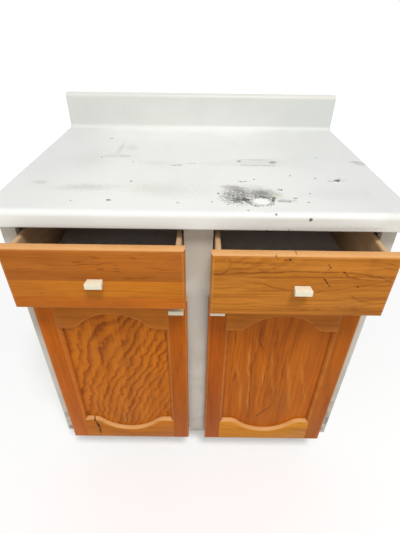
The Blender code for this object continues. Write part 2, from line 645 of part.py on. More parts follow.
def build_hinge(side, name, middle_z, root, door, bronze):
    """A hinge: its frame leaf wraps round the stile's inner edge, its door leaf is on the door's back."""
    low, high = middle_z - HINGE_HEIGHT / 2, middle_z + HINGE_HEIGHT / 2
    part_low, part_high = middle_z - MIDDLE_KNUCKLE / 2, middle_z + MIDDLE_KNUCKLE / 2
    x, y, past = side * PIVOT_X, PIVOT_Y, 0.002
    bore = PIN_RADIUS + SEAT
    wrap_outer, wrap_inner = STILE_INNER - SEAT, STILE_INNER - SEAT - HINGE_METAL
    plate_y = (-SEAT - HINGE_METAL, -SEAT)
    plate = box(mirrored(side, wrap_inner, PIVOT_X), plate_y, (low, high))
    frame_leaf = add_piece(f"{name}_frame_leaf", plate, bronze, root)
    wrap = box(mirrored(side, wrap_inner, wrap_outer), (plate_y[0], HINGE_WRAP), (low, high))
    shape_with(frame_leaf, "UNION", "wrap", wrap)
    room = KNUCKLE_RADIUS + 2 * SEAT
    window = box(
        mirrored(side, PIVOT_X - room, PIVOT_X + room), (-room, room), (part_low - SEAT, part_high + SEAT)
    )
    shape_with(frame_leaf, "DIFFERENCE", "window", window)
    ends = ((low, part_low - SEAT), (part_high + SEAT, high))
    shape_with(frame_leaf, "UNION", "knuckles", cylinders(x, y, KNUCKLE_RADIUS, *ends))
    shape_with(frame_leaf, "DIFFERENCE", "bore", cylinders(x, y, bore, (low - past, high + past)))
    leaf_y = (-DOOR_GAP + SEAT, -DOOR_GAP + SEAT + HINGE_METAL)
    leaf = box(mirrored(side, PIVOT_X - HINGE_DOOR_LEAF_WIDTH, PIVOT_X), leaf_y, (part_low, part_high))
    door_leaf = add_piece(f"{name}_door_leaf", leaf, bronze, door)
    shape_with(door_leaf, "UNION", "knuckle", cylinders(x, y, KNUCKLE_RADIUS, (part_low, part_high)))
    shape_with(door_leaf, "DIFFERENCE", "bore", cylinders(x, y, bore, (part_low - past, part_high + past)))
    add_piece(f"{name}_pin", hinge_pin(x, y, low, high), bronze, root)


def hinge_pin(x, y, low, high):
    """A pin with a rounded tip past each end of the barrel, turned about its own axis."""
    turns = [math.radians(a) for a in (0, 35, 65)]
    tip = [(PIN_TIP_RADIUS * math.cos(a), PIN_TIP_HEIGHT * math.sin(a)) for a in turns]
    top = high + SEAT
    upper = [(radius, top + rise) for radius, rise in tip] + [(0.0, top + PIN_TIP_HEIGHT)]
    lower = [(radius, low + high - z) for radius, z in reversed(upper)]
    outline = lower + [(PIN_RADIUS, low - SEAT), (PIN_RADIUS, top)] + upper
    bm = bmesh.new()
    verts = [bm.verts.new((x + radius, y, z)) for radius, z in outline]
    edges = [bm.edges.new(pair) for pair in zip(verts, verts[1:])]
    bmesh.ops.spin(
        bm, geom=verts + edges, cent=(x, y, 0.0), axis=(0.0, 0.0, 1.0), angle=math.tau, steps=ROUND_STEPS
    )
    bmesh.ops.remove_doubles(bm, verts=bm.verts, dist=0.00001)
    return bm


def main():
    clear_scene()
    laminate = make_material("white_laminate", (0.80, 0.80, 0.77), 0.35)
    paint = make_material("white_paint", (0.72, 0.70, 0.66), 0.5)
    melamine = make_material("white_melamine", (0.75, 0.74, 0.70), 0.45)
    oak = make_material("honey_oak", (0.47, 0.17, 0.035), 0.4)
    panel_oak = make_material("oak_veneer", (0.44, 0.17, 0.035), 0.4)
    birch = make_material("birch", (0.62, 0.42, 0.22), 0.55)
    hardboard = make_material("hardboard", (0.28, 0.17, 0.09), 0.7)
    chipboard = make_material("chipboard", (0.50, 0.36, 0.22), 0.8)
    cream = make_material("cream_plastic", (0.85, 0.80, 0.62), 0.3)
    bronze = make_material("dark_bronze", (0.035, 0.028, 0.024), 0.4, 0.8)
    steel = make_material("zinc_steel", (0.55, 0.56, 0.57), 0.35, 1.0)
    nylon = make_material("nylon", (0.85, 0.84, 0.80), 0.45)
    root = make_empty("cabinet", (0.0, -MIDDLE_Y, 0.0))
    build_countertop(root, laminate, chipboard)
    build_carcass(root, melamine, hardboard, chipboard)
    build_face_frame(root, paint)
    for side, word, out in ((-1, "left", LEFT_DRAWER_OUT), (1, "right", RIGHT_DRAWER_OUT)):
        build_track(side, word, root, steel)
        build_drawer(side, word, out, root, oak, birch, hardboard, nylon, cream)
        build_door(side, word, root, oak, panel_oak, cream, bronze)


main()
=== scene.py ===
"""Kitchen base cabinet with two drawers and two doors: pieces, finishes, light and camera.

Laid out as a Blender add-on and run as a script. Lengths are in metres, in the frame of the packed
model: X to the right, Y to the wall, Z up.
"""

import contextlib
import math

import bmesh
import bpy
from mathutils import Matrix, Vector


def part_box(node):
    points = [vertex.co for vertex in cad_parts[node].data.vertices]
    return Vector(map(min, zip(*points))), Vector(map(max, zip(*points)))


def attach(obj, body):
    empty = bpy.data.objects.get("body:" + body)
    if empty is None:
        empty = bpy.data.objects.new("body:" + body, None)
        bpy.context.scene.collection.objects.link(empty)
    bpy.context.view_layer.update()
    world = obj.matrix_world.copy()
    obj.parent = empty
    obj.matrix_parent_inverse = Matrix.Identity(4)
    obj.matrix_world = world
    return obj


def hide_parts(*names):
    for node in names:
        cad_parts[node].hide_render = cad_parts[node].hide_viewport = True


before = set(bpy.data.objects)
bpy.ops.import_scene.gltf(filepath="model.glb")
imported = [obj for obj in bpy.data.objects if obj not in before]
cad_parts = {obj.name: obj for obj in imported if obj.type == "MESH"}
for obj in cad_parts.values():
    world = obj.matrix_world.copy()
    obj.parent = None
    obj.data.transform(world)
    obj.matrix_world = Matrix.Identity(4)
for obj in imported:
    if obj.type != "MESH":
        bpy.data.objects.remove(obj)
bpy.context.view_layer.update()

bl_info = {
    "name": "Kitchen Base Cabinet",
    "version": (1, 0, 0),
    "blender": (4, 5, 0),
    "location": "3D Viewport > Sidebar > Cabinet",
    "description": "Models and finishes the visible pieces of a kitchen base cabinet",
    "category": "Object",
}

# Every row is x, y, half length, half width, turn, softness, raggedness, strength; in mm and degrees.
SOOT_MARKS = (
    (-272, 221, 5.5, 3.4, 10, 0.3, 0.7, 0.85), (-264, 46, 2.6, 3, 0, 0.3, 0.6, 0.8),
    (-203, 56, 14, 1.8, 0, 0.4, 0.7, 0.75), (-244, 52, 30, 1.4, 2, 0.6, 0.9, 0.3),
    (-174, 14, 2.6, 3, 0, 0.3, 0.6, 0.55), (-59, -8, 17, 2.4, 10, 0.3, 0.8, 0.8),
    (-22, 6, 15, 1.8, 2, 0.5, 0.9, 0.5), (-159, -119, 2.8, 3.4, 0, 0.3, 0.6, 0.8),
    (-190, -222, 5.5, 3.2, -8, 0.3, 0.8, 0.85), (-268, -227, 2.4, 2.6, 0, 0.3, 0.6, 0.7),
    (-44, -231, 4.2, 2.6, -30, 0.3, 0.6, 0.6), (28, -224, 2.6, 2.8, 0, 0.3, 0.6, 0.6),
    (42, -181, 2.8, 3.8, 0, 0.3, 0.6, 0.9), (96, -113, 7, 2.4, -38, 0.4, 0.9, 0.8),
    (105, -112, 6, 2.2, 34, 0.4, 0.9, 0.7), (115, -111, 8, 1.5, -6, 0.5, 0.9, 0.5),
    (129, -98, 2.4, 3.4, 0, 0.3, 0.6, 0.85), (179, -156, 2.6, 4.4, 20, 0.4, 0.8, 0.7),
    (184, -158, 2.8, 5, -24, 0.4, 0.8, 0.8), (220, -71, 6, 2, 55, 0.4, 0.6, 0.6),
    (278, -86, 4, 3.8, 0, 0.3, 0.9, 0.65), (319, 67, 6, 2, 0, 0.3, 0.6, 0.6),
    (328, -98, 9, 7, 12, 0.4, 1.3, 0.95), (309, -103, 8, 2.2, -6, 0.4, 1.0, 0.6),
    (341, -100, 6, 2.2, 24, 0.4, 1.0, 0.5), (335, -88, 2.2, 5, 0, 0.4, 1.0, 0.6),
    (243, -177, 2.8, 3, 0, 0.3, 0.6, 0.7), (230, -221, 3.4, 2.6, 12, 0.3, 0.6, 0.6),
    (99, -262, 2.6, 3, 0, 0.3, 0.6, 0.6), (152, 40, 50, 2.0, 1, 0.5, 1.1, 0.6),
    (150, -2, 54, 2.2, -1, 0.5, 1.1, 0.6), (104, 28, 10, 6, 70, 0.6, 1.0, 0.5),
    (192, 22, 12, 9, 40, 0.6, 1.1, 0.6), (131, -220, 27.5, 21, -4, 0.3, 0.9, 0.85),
    (138, -199, 22, 6, -12, 0.6, 1.1, 0.85), (157, -212, 5, 16, -14, 0.5, 0.9, 0.9),
    (106, -230, 16, 5, -42, 0.5, 1.7, 0.85), (98, -210, 15, 12, 0, 0.7, 1.5, 0.9),
    (80, -214, 10, 17, 0, 0.9, 1.5, 0.6), (206, -202, 5, 4, 20, 0.5, 1.0, 0.6),
    (180, -217, 16, 4, 0, 0.9, 1.3, 0.35),
)
SMOKE_MARKS = (
    (136, -178, 36, 28, -6, 0.95, 0.5, 0.85), (140, -192, 28, 13, -12, 0.9, 0.5, 0.75),
    (118, -168, 56, 36, -8, 0.95, 0.6, 0.3), (94, -190, 30, 22, -12, 0.9, 0.9, 0.5),
    (78, -206, 30, 28, 0, 0.9, 0.9, 0.3),
)
BROWN_MARKS = (
    (78, -150, 32, 14, -14, 0.9, 0.6, 0.7), (88, -165, 30, 12, -20, 0.9, 0.8, 0.75),
    (66, -180, 22, 24, -20, 0.9, 0.9, 0.4), (438, 10, 17, 3.2, -52, 0.5, 1.0, 0.85),
    (418, 34, 15, 3.2, -6, 0.5, 1.0, 0.8), (418, 22, 24, 13, -40, 0.9, 0.9, 0.35),
    (95, -200, 40, 28, 4, 0.8, 0.7, 0.2),
)
YELLOW_MARKS = ((170, -188, 18, 18, -20, 0.9, 0.6, 0.6), (-110, -150, 60, 40, 0, 0.9, 0.8, 0.2))
GREY_MARKS = (
    (-366, -131, 20, 12, 0, 0.9, 0.8, 0.5), (-252, -156, 74, 20, 3, 0.9, 1.0, 0.42),
    (-227, 122, 9, 62, -2, 0.9, 1.0, 0.4), (-196, 132, 20, 34, 8, 0.95, 1.0, 0.3),
    (-232, 62, 50, 12, 0, 0.9, 1.0, 0.3), (-60, -170, 90, 40, 0, 0.9, 1.0, 0.2),
    (150, 18, 92, 34, 0, 0.9, 1.0, 0.28), (-300, 20, 60, 60, 0, 0.9, 1.0, 0.18),
    (60, 10, 70, 18, 4, 0.9, 1.0, 0.16), (-110, 6, 60, 20, 0, 0.9, 1.0, 0.2),
    (300, -180, 90, 40, 0, 0.9, 1.0, 0.14), (182, -216, 26, 8, 0, 0.9, 1.0, 0.5),
)
SPECKLED_MARKS = (
    (82, -202, 38, 38, 8, 0.5, 0.7, 1.0), (100, -212, 26, 18, 6, 0.5, 0.7, 0.9),
    (182, -214, 26, 9, 0, 0.8, 0.9, 0.5),
)
BARE_MARKS = ((131, -220, 21.5, 17, -4, 0.2, 0.6, 1.0), (106, -203, 8, 4, -24, 0.4, 0.8, 0.8))
# The same rows on the countertop's nose, with z in the place of y.
NOSE_MARKS = (
    (223, 904, 3.6, 4.2, 0, 0.4, 0.8, 0.9), (183, 879, 1.2, 3.6, 0, 0.3, 0.5, 0.8),
    (154, 912, 2.4, 1.6, 0, 0.3, 0.6, 0.8), (138, 878, 4, 1.8, 0, 0.3, 0.6, 0.5),
)
NOSE_STAINS = (
    (270, 884, 150, 5, 1, 0.9, 0.8, 0.55), (396, 900, 34, 18, 0, 0.9, 0.8, 0.35),
    (200, 902, 130, 6, 1, 0.9, 0.8, 0.25), (-250, 882, 150, 4, 0, 0.9, 0.9, 0.25),
)
# The same rows on the front faces, with z in the place of y.
SPLINTERS = (
    (149, 861, 1.8, 1.6, 0, 0.4, 0.6, 0.8), (152, 856, 4.5, 1.1, -8, 0.4, 0.8, 0.6),
    (168, 853, 5, 1.3, -8, 0.4, 0.8, 0.8), (176, 854, 2.6, 3.0, 20, 0.4, 0.8, 0.95),
    (183, 849, 6, 0.8, -14, 0.5, 0.8, 0.5), (252, 844, 4, 1.1, -60, 0.4, 0.7, 0.7),
    (257, 837, 3.4, 1.5, -46, 0.4, 0.7, 0.9), (254, 832, 3, 1.1, 50, 0.4, 0.7, 0.6),
    (286, 826, 3.6, 1.7, -34, 0.4, 0.7, 0.95), (293, 819, 7, 1.1, -46, 0.4, 0.7, 0.8),
    (247, 813, 3.5, 1.4, -30, 0.5, 0.8, 0.6), (253, 806, 6, 1.6, -58, 0.4, 0.8, 0.9),
    (258, 800, 4, 1.9, -60, 0.4, 0.8, 0.95), (263, 793, 5, 1.2, -38, 0.4, 0.8, 0.8),
    (321, 791, 4.6, 1.3, -40, 0.4, 0.7, 0.9), (188, 864, 1.2, 1.2, 0, 0.3, 0.4, 0.7),
    (88, 865, 1.3, 1.0, 0, 0.3, 0.4, 0.55), (300, 865, 1.3, 1.1, 0, 0.3, 0.4, 0.7),
)
KNOTS = (
    (-316, 200, 22, 2.9, 105, 0.5, 0.9, 0.85), (-308.5, 170, 22, 4.8, 101, 0.5, 0.9, 0.95),
    (-306.5, 142, 20, 3.6, 86, 0.5, 0.9, 0.9), (-309, 116, 12, 2.6, 88, 0.7, 0.9, 0.35),
)
SCRATCHES = (
    (204, 238, 38, 1.7, 54, 0.5, 0.9, 0.9), (190, 218, 14, 2.2, 54, 0.5, 0.9, 0.7),
    (96, 440, 30, 1.4, 88, 0.6, 0.8, 0.4),
)
CHIPS = (
    (402, 268, 22, 1.6, 20, 0.4, 0.9, 0.9), (404, 214, 9, 22, 12, 0.5, 1.0, 0.6),
    (412, 176, 7, 26, 0, 0.5, 1.1, 0.8), (398, 128, 16, 12, 30, 0.5, 1.1, 0.8),
    (400, 330, 5, 3, 0, 0.4, 0.9, 0.5), (-404, 122, 15, 12, -25, 0.5, 1.1, 0.8),
    (-410, 190, 7, 16, 0, 0.5, 1.1, 0.5), (4, 116, 26, 7, 0, 0.6, 1.1, 0.4),
)

# Darker and paler grain lines on the front faces: points as x and z, then half width and strength; in mm.
LEFT_FRONT_LINES = (
    (((-251, 825), (-214, 827), (-171, 832)), 1.6, 0.55),
    (((-149, 792), (-123, 795), (-94, 797)), 1.5, 0.6), (((-367, 815), (-332, 816)), 1.8, 0.3),
    (((-299, 825), (-270, 827)), 1.4, 0.3), (((-98, 821), (-59, 817)), 1.8, 0.3),
    (((-244, 833), (-232, 834)), 2.2, 0.55), (((-208, 846), (-197, 845)), 2.0, 0.5),
    (((-198, 816), (-190, 816)), 3.0, 0.5), (((-166, 827), (-160, 826)), 1.5, 0.6),
    (((-164, 819), (-158, 818)), 1.5, 0.6), (((-164, 812), (-159, 811)), 1.5, 0.6),
    (((-129, 846), (-125, 845)), 2.2, 0.6), (((-151, 747), (-85, 747)), 1.4, 0.35),
)
RIGHT_FRONT_LINES = (
    (((70, 820), (106, 821), (148, 823), (170, 825), (209, 828), (237, 827), (281, 827), (321, 824),
      (351, 816), (383, 805)), 2.6, 0.55),
    (((107, 811), (172, 813), (217, 815), (256, 814), (296, 814), (325, 810), (354, 808)), 2.2, 0.42),
    (((94, 801), (128, 798), (153, 787), (176, 782)), 2.8, 0.42),
    (((31, 817), (45, 819), (61, 830), (83, 831)), 2.4, 0.5), (((60, 855), (64, 842), (58, 830)), 2.2, 0.3),
    (((87, 842), (97, 846), (109, 842)), 2.0, 0.4),
    (((315, 767), (326, 759), (351, 752), (357, 749)), 2.4, 0.42), (((236, 774), (255, 780)), 2.0, 0.3),
    (((98, 745), (123, 745)), 1.2, 0.4), (((101, 735), (138, 736)), 1.2, 0.3),
    (((122, 830), (125, 830)), 2.2, 0.45), (((142, 843), (151, 845)), 2.6, 0.45),
    (((149, 834), (151, 832)), 2.0, 0.5), (((34, 782), (81, 784)), 2.0, 0.3),
    (((275, 741), (313, 742)), 1.2, 0.4), (((329, 731), (334, 730)), 1.8, 0.55),
    (((376, 735), (385, 735)), 1.4, 0.4), (((263, 756), (289, 756)), 1.3, 0.35),
    (((216, 729), (230, 729)), 1.4, 0.5), (((248, 731), (257, 730)), 1.6, 0.45),
    (((364, 847), (380, 846)), 1.4, 0.6), (((360, 837), (378, 837)), 1.6, 0.6),
)
RIGHT_FRONT_PALE_LINES = (
    (((104, 840), (112, 840)), 1.4, 0.5), (((46, 767), (58, 768), (72, 767)), 1.5, 0.45),
    (((78, 779), (92, 779)), 2.8, 0.4), (((101, 816), (125, 817)), 1.8, 0.4),
    (((102, 806), (119, 807), (135, 806)), 2.0, 0.4), (((97, 791), (124, 790)), 2.6, 0.35),
    (((97, 749), (135, 749)), 1.4, 0.4), (((101, 740), (139, 740)), 1.4, 0.4),
    (((266, 809), (285, 809), (303, 809)), 1.6, 0.4), (((226, 805), (245, 804)), 1.4, 0.4),
    (((301, 755), (320, 755)), 2.0, 0.45), (((299, 736), (317, 737)), 1.8, 0.45),
    (((339, 738), (372, 744)), 1.8, 0.45), (((321, 813), (340, 811), (379, 809)), 1.8, 0.45),
    (((357, 800), (385, 799)), 1.6, 0.4), (((236, 745), (249, 744)), 1.6, 0.4),
    (((200, 768), (300, 762)), 8.0, 0.3), (((240, 742), (340, 748)), 9.0, 0.3),
    (((150, 835), (330, 838)), 10.0, 0.22), (((60, 800), (110, 802)), 9.0, 0.2),
)
RIGHT_PANEL_LINES = (
    (((156, 498), (155, 476), (151, 441), (149, 392), (155, 340), (161, 242), (161, 189)), 2.6, 0.6),
    (((195, 499), (194, 459), (191, 417), (189, 367), (185, 321), (188, 257)), 2.0, 0.6),
    (((214, 499), (217, 460), (216, 424), (223, 387)), 2.0, 0.6),
    (((234, 436), (238, 400), (231, 355), (229, 308), (226, 258)), 1.8, 0.5),
    (((108, 413), (103, 388)), 5.0, 0.55), (((95, 365), (93, 312)), 3.0, 0.3),
    (((98, 582), (100, 530)), 2.4, 0.5), (((162, 573), (161, 547), (172, 515)), 4.5, 0.5),
    (((201, 584), (203, 553), (202, 521)), 2.2, 0.5), (((131, 582), (133, 536)), 2.0, 0.4),
    (((101, 298), (99, 255)), 2.4, 0.35), (((311, 357), (314, 303)), 2.4, 0.4),
    (((270, 407), (275, 388)), 2.0, 0.35),
)
RIGHT_PANEL_PALE_LINES = (
    (((139, 509), (140, 442), (147, 393), (150, 324), (154, 259)), 4.0, 0.5),
    (((286, 445), (306, 359), (319, 296)), 5.0, 0.3), (((107, 456), (117, 385)), 4.5, 0.3),
    (((185, 415), (187, 371)), 2.4, 0.55), (((125, 370), (131, 258)), 7.0, 0.3),
    (((201, 491), (208, 400), (224, 326)), 4.5, 0.25), (((248, 458), (262, 370), (280, 262)), 7.0, 0.3),
)

# Where the camera stood: its place, its turns about X, Y and Z in degrees, its lens and sensor in mm, and
# the nearest distance that it sees
CAMERA_PLACE = (0.00363, -0.92719, 1.24302)
CAMERA_TURNS = (54.880, -0.633, 0.412)
CAMERA_LENS = 24.698
SENSOR_WIDTH = 36.0
CLIP_START = 0.02

# The lamps: name, place, width of the disc and power, and the point that they light
LAMPS = (("key_light", (0.6, -2.3, 4.9), 1.3, 150.0), ("fill_light", (-2.6, -2.2, 2.2), 2.4, 8.0))
LIT_POINT = (0.0, -0.1, 0.55)

# The room: the floor's size, and the walls' light on the cabinet, where the camera sees them as 1
FLOOR_SIZE = 40.0
ROOM_LIGHT = 0.46

# The countertop's section
DECK_TOP = 0.9144
NOSE_DEPTH = 0.0381
NOSE_DROP = 0.0191
SPLASH_THICKNESS = 0.0191

# Hinges: their metal, knuckles and pins, and where their screws stand from the middle and the edges
HINGE_METAL = 0.0012
KNUCKLE_RADIUS = 0.003
HINGE_GAP = 0.0003
LEAF_START = KNUCKLE_RADIUS * 0.8
LEAF_CORNER = 0.005
FRAME_SCREW_REACH = 0.033
FRAME_SCREW_SETBACK = 0.00675
DOOR_SCREW_REACH = 0.0125
DOOR_SCREW_SETBACK = 0.010
PIN_RADIUS = 0.0014
PIN_PAST_LEAF = 0.0003

# The pin's head: how far each step rises, and by how much it then widens or narrows
PIN_HEAD = ((0.0, 1.857), (0.0012, 0.93), (0.0012, 0.80), (0.0009, 0.62), (0.0004, 0.40))

# Block knobs: width and height of the foot on the wood, and how far past the middle a section lies
KNOB_FOOT = (0.0320, 0.0105)
KNOB_SECTION = 0.004

# Nails of the back panel: how far from its top and bottom they start, how far from the middle the side
# rows stand, and how far above the lowest nails the row across lies
NAIL_RADIUS = 0.0022
NAIL_HEIGHT = 0.0004
NAIL_MARGIN = 0.012
NAIL_REACH = 0.4
NAIL_ROW_RISE = 0.107

# How far edges are eased, besides those in the sizes below
CAP_EASE = 0.0003
FRONT_REAR_EASE = 0.0008
BOX_SIDE_EASE = 0.0006
BOX_BACK_EASE = 0.0008
TRACK_EASE = 0.0003
GUIDE_EASE = 0.0006
KNOB_EASE = 0.0006
LEAF_EASE = 0.0002
LEAF_FOLD = 0.0010
KNUCKLE_EASE = 0.0004
NAIL_EASE = 0.00015

# A turn that lays a screw or nail, made facing up, on a face at the rear
FACING_REAR = (-math.pi / 2, 0.0, 0.0)

# Limits for joining, cleaning and shading meshes
MERGE_DISTANCE = 0.000005
SAME_PLACE = 0.00002
FLAT_ANGLE = math.radians(0.5)
SMOOTH_ANGLE = math.radians(35)
LEVEL_NORMAL = 0.995

MM_PER_METRE = 1000

# How far the figure moves on from one stave of a glued board to the next
STAVE_SHIFT = (0.013, 0.031, 0.83)

VALUE, VECTOR, COLOUR = "NodeSocketFloat", "NodeSocketVector", "NodeSocketColor"


def distance(name, description, default):
    return bpy.props.FloatProperty(
        name=name, description=description, default=default, min=0.0, subtype="DISTANCE", unit="LENGTH"
    )


def colour(name, description, default):
    return bpy.props.FloatVectorProperty(
        name=name, description=description, default=default, size=3, min=0.0, max=1.0, subtype="COLOR"
    )


class CabinetSizes(bpy.types.PropertyGroup):
    """Edge forms and fixings of the visible pieces."""

    nose_top: distance("Nose Top", "Radius of the countertop's nose, above", 0.011)
    nose_bottom: distance("Nose Bottom", "Radius of the countertop's nose, below", 0.004)
    cove: distance("Cove", "Radius between deck and backsplash", 0.012)
    splash_top: distance("Backsplash Top", "Radius of the backsplash's front edge", 0.014)
    splash_rear: distance("Backsplash Rear", "Radius of the backsplash's rear edge", 0.003)
    front_roundover: distance("Front Roundover", "Radius of the drawer fronts' routed edge", 0.0075)
    board_ease: distance("Board Ease", "Rounding of sawn and painted board edges", 0.0008)
    door_ease: distance("Door Ease", "Rounding of the door members' sharp edges", 0.0005)
    knob_edge: distance("Knob Edge", "Rounding of the knobs' front edges", 0.0014)
    screw_head: distance("Screw Head", "Radius of the screw heads", 0.0032)


class CabinetFinishes(bpy.types.PropertyGroup):
    """Colours and wear of the visible surfaces."""

    laminate: colour("Laminate", "Countertop's deck and backsplash", (0.78, 0.79, 0.76))
    # The nose is yellowed, and painted lighter than the deck to stand in for light on its front.
    laminate_nose_with_painted_light: colour("Laminate Nose", "Countertop's nose, yellowed", (0.935, 0.93, 0.87))
    paint: colour("Paint", "Face frame", (0.61, 0.57, 0.485))
    melamine: colour("Melamine", "Carcass boards", (0.73, 0.72, 0.69))
    oak_light: colour("Oak Light", "Late wood of the oak", (0.63, 0.205, 0.018))
    oak_dark: colour("Oak Dark", "Early wood of the oak", (0.26, 0.062, 0.004))
    birch: colour("Birch", "Drawer boxes", (0.66, 0.44, 0.24))
    knob: colour("Knob", "Knobs", (0.86, 0.81, 0.62))
    wear: bpy.props.FloatProperty(
        name="Wear", description="How worn and dirty the cabinet is", default=1.0, min=0.0, max=1.0,
        subtype="FACTOR",
    )


def sizes():
    return bpy.context.scene.cabinet_sizes


def finishes():
    return bpy.context.scene.cabinet_finishes


# Modelling


def deselect_all():
    """Leaves edit mode, with nothing selected."""
    if bpy.context.object and bpy.context.object.mode != "OBJECT":
        bpy.ops.object.mode_set(mode="OBJECT")
    bpy.ops.object.select_all(action="DESELECT")


def select_only(piece):
    deselect_all()
    piece.select_set(True)
    bpy.context.view_layer.objects.active = piece


def apply_place(piece):
    select_only(piece)
    bpy.ops.object.transform_apply(location=True, rotation=True, scale=True)


def middle_of(name):
    """The middle of a CAD node's box."""
    low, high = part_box(name)
    return (low + high) / 2


def block(name, low, high):
    """A block between two corners, to be shaped further."""
    low, high = Vector(low), Vector(high)
    deselect_all()
    bpy.ops.mesh.primitive_cube_add(size=1.0, location=(low + high) / 2)
    piece = bpy.context.object
    piece.name = piece.data.name = name
    piece.scale = high - low
    apply_place(piece)
    return piece


def rod(name, centre, radius, length, sides=32):
    """A round bar about Z, to be shaped further."""
    deselect_all()
    bpy.ops.mesh.primitive_cylinder_add(vertices=sides, radius=radius, depth=length, location=centre)
    piece = bpy.context.object
    piece.name = piece.data.name = name
    apply_place(piece)
    return piece


@contextlib.contextmanager
def editing(piece, kind):
    """The piece in edit mode, with nothing selected. Kind is VERT, EDGE or FACE."""
    select_only(piece)
    bpy.ops.object.mode_set(mode="EDIT")
    bpy.ops.mesh.select_mode(type=kind)
    bpy.ops.mesh.select_all(action="DESELECT")
    yield
    bpy.ops.object.mode_set(mode="OBJECT")


def pick(piece, kind, test):
    """In edit mode, selects the faces or edges that pass the test."""
    bpy.ops.mesh.select_all(action="DESELECT")
    shape = bmesh.from_edit_mesh(piece.data)
    chosen = [part for part in getattr(shape, kind) if test(part)]
    if not chosen:
        raise RuntimeError(f"{piece.name}: none of its {kind} is there to shape")
    for part in chosen:
        part.select_set(True)
    bmesh.update_edit_mesh(piece.data)


def pick_faces(piece, test):
    """In edit mode, selects the faces whose middle and normal pass the test."""
    pick(piece, "faces", lambda face: test(face.calc_center_median(), face.normal))


def pick_edges(piece, test):
    """In edit mode, selects the edges whose two ends pass the test."""
    pick(piece, "edges", lambda edge: test(edge.verts[0].co, edge.verts[1].co))


def bevel(radius, steps):
    """In edit mode, rounds the selected edges."""
    bpy.ops.mesh.bevel(offset=radius, segments=steps, profile=0.5, affect="EDGES")


def extrude(y=0.0, z=0.0):
    """In edit mode, draws the selected faces out by that far."""
    bpy.ops.mesh.extrude_region_move(TRANSFORM_OT_translate={"value": (0.0, y, z)})


def cut_through(place, along):
    """In edit mode, cuts the whole piece by the plane through the place, square to along."""
    bpy.ops.mesh.select_all(action="SELECT")
    bpy.ops.mesh.bisect(plane_co=place, plane_no=along)


def near(value, target):
    return abs(value - target) < SAME_PLACE


def round_edges(piece, test, radius, steps):
    """Rounds the edges whose ends both pass the test."""
    with editing(piece, "EDGE"):
        pick_edges(piece, lambda a, b: test(a) and test(b))
        bevel(radius, steps)


def ease_edges(piece, radius, steps=2, angle=60):
    """Rounds every edge that is sharper than the angle."""
    select_only(piece)
    modifier = piece.modifiers.new("Eased edges", "BEVEL")
    modifier.width = radius
    modifier.segments = steps
    modifier.limit_method = "ANGLE"
    modifier.angle_limit = math.radians(angle)
    bpy.ops.object.modifier_apply(modifier=modifier.name)


def close_up(piece):
    """Merges doubles and turns every face outwards."""
    with editing(piece, "VERT"):
        bpy.ops.mesh.select_all(action="SELECT")
        bpy.ops.mesh.remove_doubles(threshold=MERGE_DISTANCE)
        bpy.ops.mesh.normals_make_consistent(inside=False)


def join(pieces, name):
    select_only(pieces[0])
    for piece in pieces:
        piece.select_set(True)
    bpy.ops.object.join()
    pieces[0].name = pieces[0].data.name = name
    return pieces[0]


def discard(*pieces):
    for piece in pieces:
        select_only(piece)
        bpy.ops.object.delete()


def copy_to(piece, name, move=(0.0, 0.0, 0.0), turn=(0.0, 0.0, 0.0), mirror=False):
    """A copy with its own mesh, moved, turned or mirrored in X."""
    select_only(piece)
    bpy.ops.object.duplicate(linked=False)
    made = bpy.context.object
    made.name = made.data.name = name
    made.rotation_euler = turn
    made.location = move
    if mirror:
        made.scale.x = -1.0
    apply_place(made)
    if mirror:
        close_up(made)
    return made


def finish(piece, body, slot_name, material, *nodes):
    """Shades the piece, gives it its finish and puts it on its body in place of the CAD nodes."""
    eased = piece.data.attributes.new("eased_edge", "FLOAT", "FACE")
    for face in piece.data.polygons:
        level = max(abs(part) for part in face.normal) > LEVEL_NORMAL
        eased.data[face.index].value = 0.0 if level else 1.0
    select_only(piece)
    bpy.ops.object.shade_smooth_by_angle(angle=SMOOTH_ANGLE)
    piece.data.materials.clear()
    piece.data.materials.append(material)
    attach(piece, body)
    if nodes:
        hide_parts(*nodes)


def dress(name, body, slot_name, material, radius, steps=2):
    """Puts a merged copy of a CAD node's mesh, with its edges eased, in place of the node."""
    piece = bpy.data.objects.new(f"{name}_dressed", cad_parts[name].data.copy())
    piece.data.name = piece.name
    bpy.context.scene.collection.objects.link(piece)
    select_only(piece)
    bpy.ops.mesh.customdata_custom_splitnormals_clear()
    with editing(piece, "VERT"):
        bpy.ops.mesh.select_all(action="SELECT")
        bpy.ops.mesh.remove_doubles(threshold=MERGE_DISTANCE)
        bpy.ops.mesh.dissolve_limited(angle_limit=FLAT_ANGLE)
    if radius:
        ease_edges(piece, radius, steps, 50)
    finish(piece, body, slot_name, material, name)


# Shader nodes


def node(kind, values, **settings):
    """A node in the tree of its sockets; values are sockets or numbers, by the input's name or number."""
    sockets = {key: value for key, value in values.items() if isinstance(value, bpy.types.NodeSocket)}
    tree = next(iter(sockets.values())).id_data
    made = tree.nodes.new(kind)
    for key, value in settings.items():
        setattr(made, key, value)
    for key, value in values.items():
        if key in sockets:
            tree.links.new(value, made.inputs[key])
        else:
            made.inputs[key].default_value = value
    return made


def calc(operation, first, second=0.0, clamp=False):
    values = {0: first, 1: second}
    return node("ShaderNodeMath", values, operation=operation, use_clamp=clamp).outputs[0]


def plus(first, second, clamp=False):
    return calc("ADD", first, second, clamp)


def minus(first, second):
    return calc("SUBTRACT", first, second)


def times(first, second, clamp=False):
    return calc("MULTIPLY", first, second, clamp)


def highest(first, *others):
    for other in others:
        first = calc("MAXIMUM", first, other)
    return first


def vector_calc(operation, first, second):
    return node("ShaderNodeVectorMath", {0: first, 1: second}, operation=operation).outputs[0]


def scaled(vector, factor):
    return node("ShaderNodeVectorMath", {0: vector, "Scale": factor}, operation="SCALE").outputs[0]


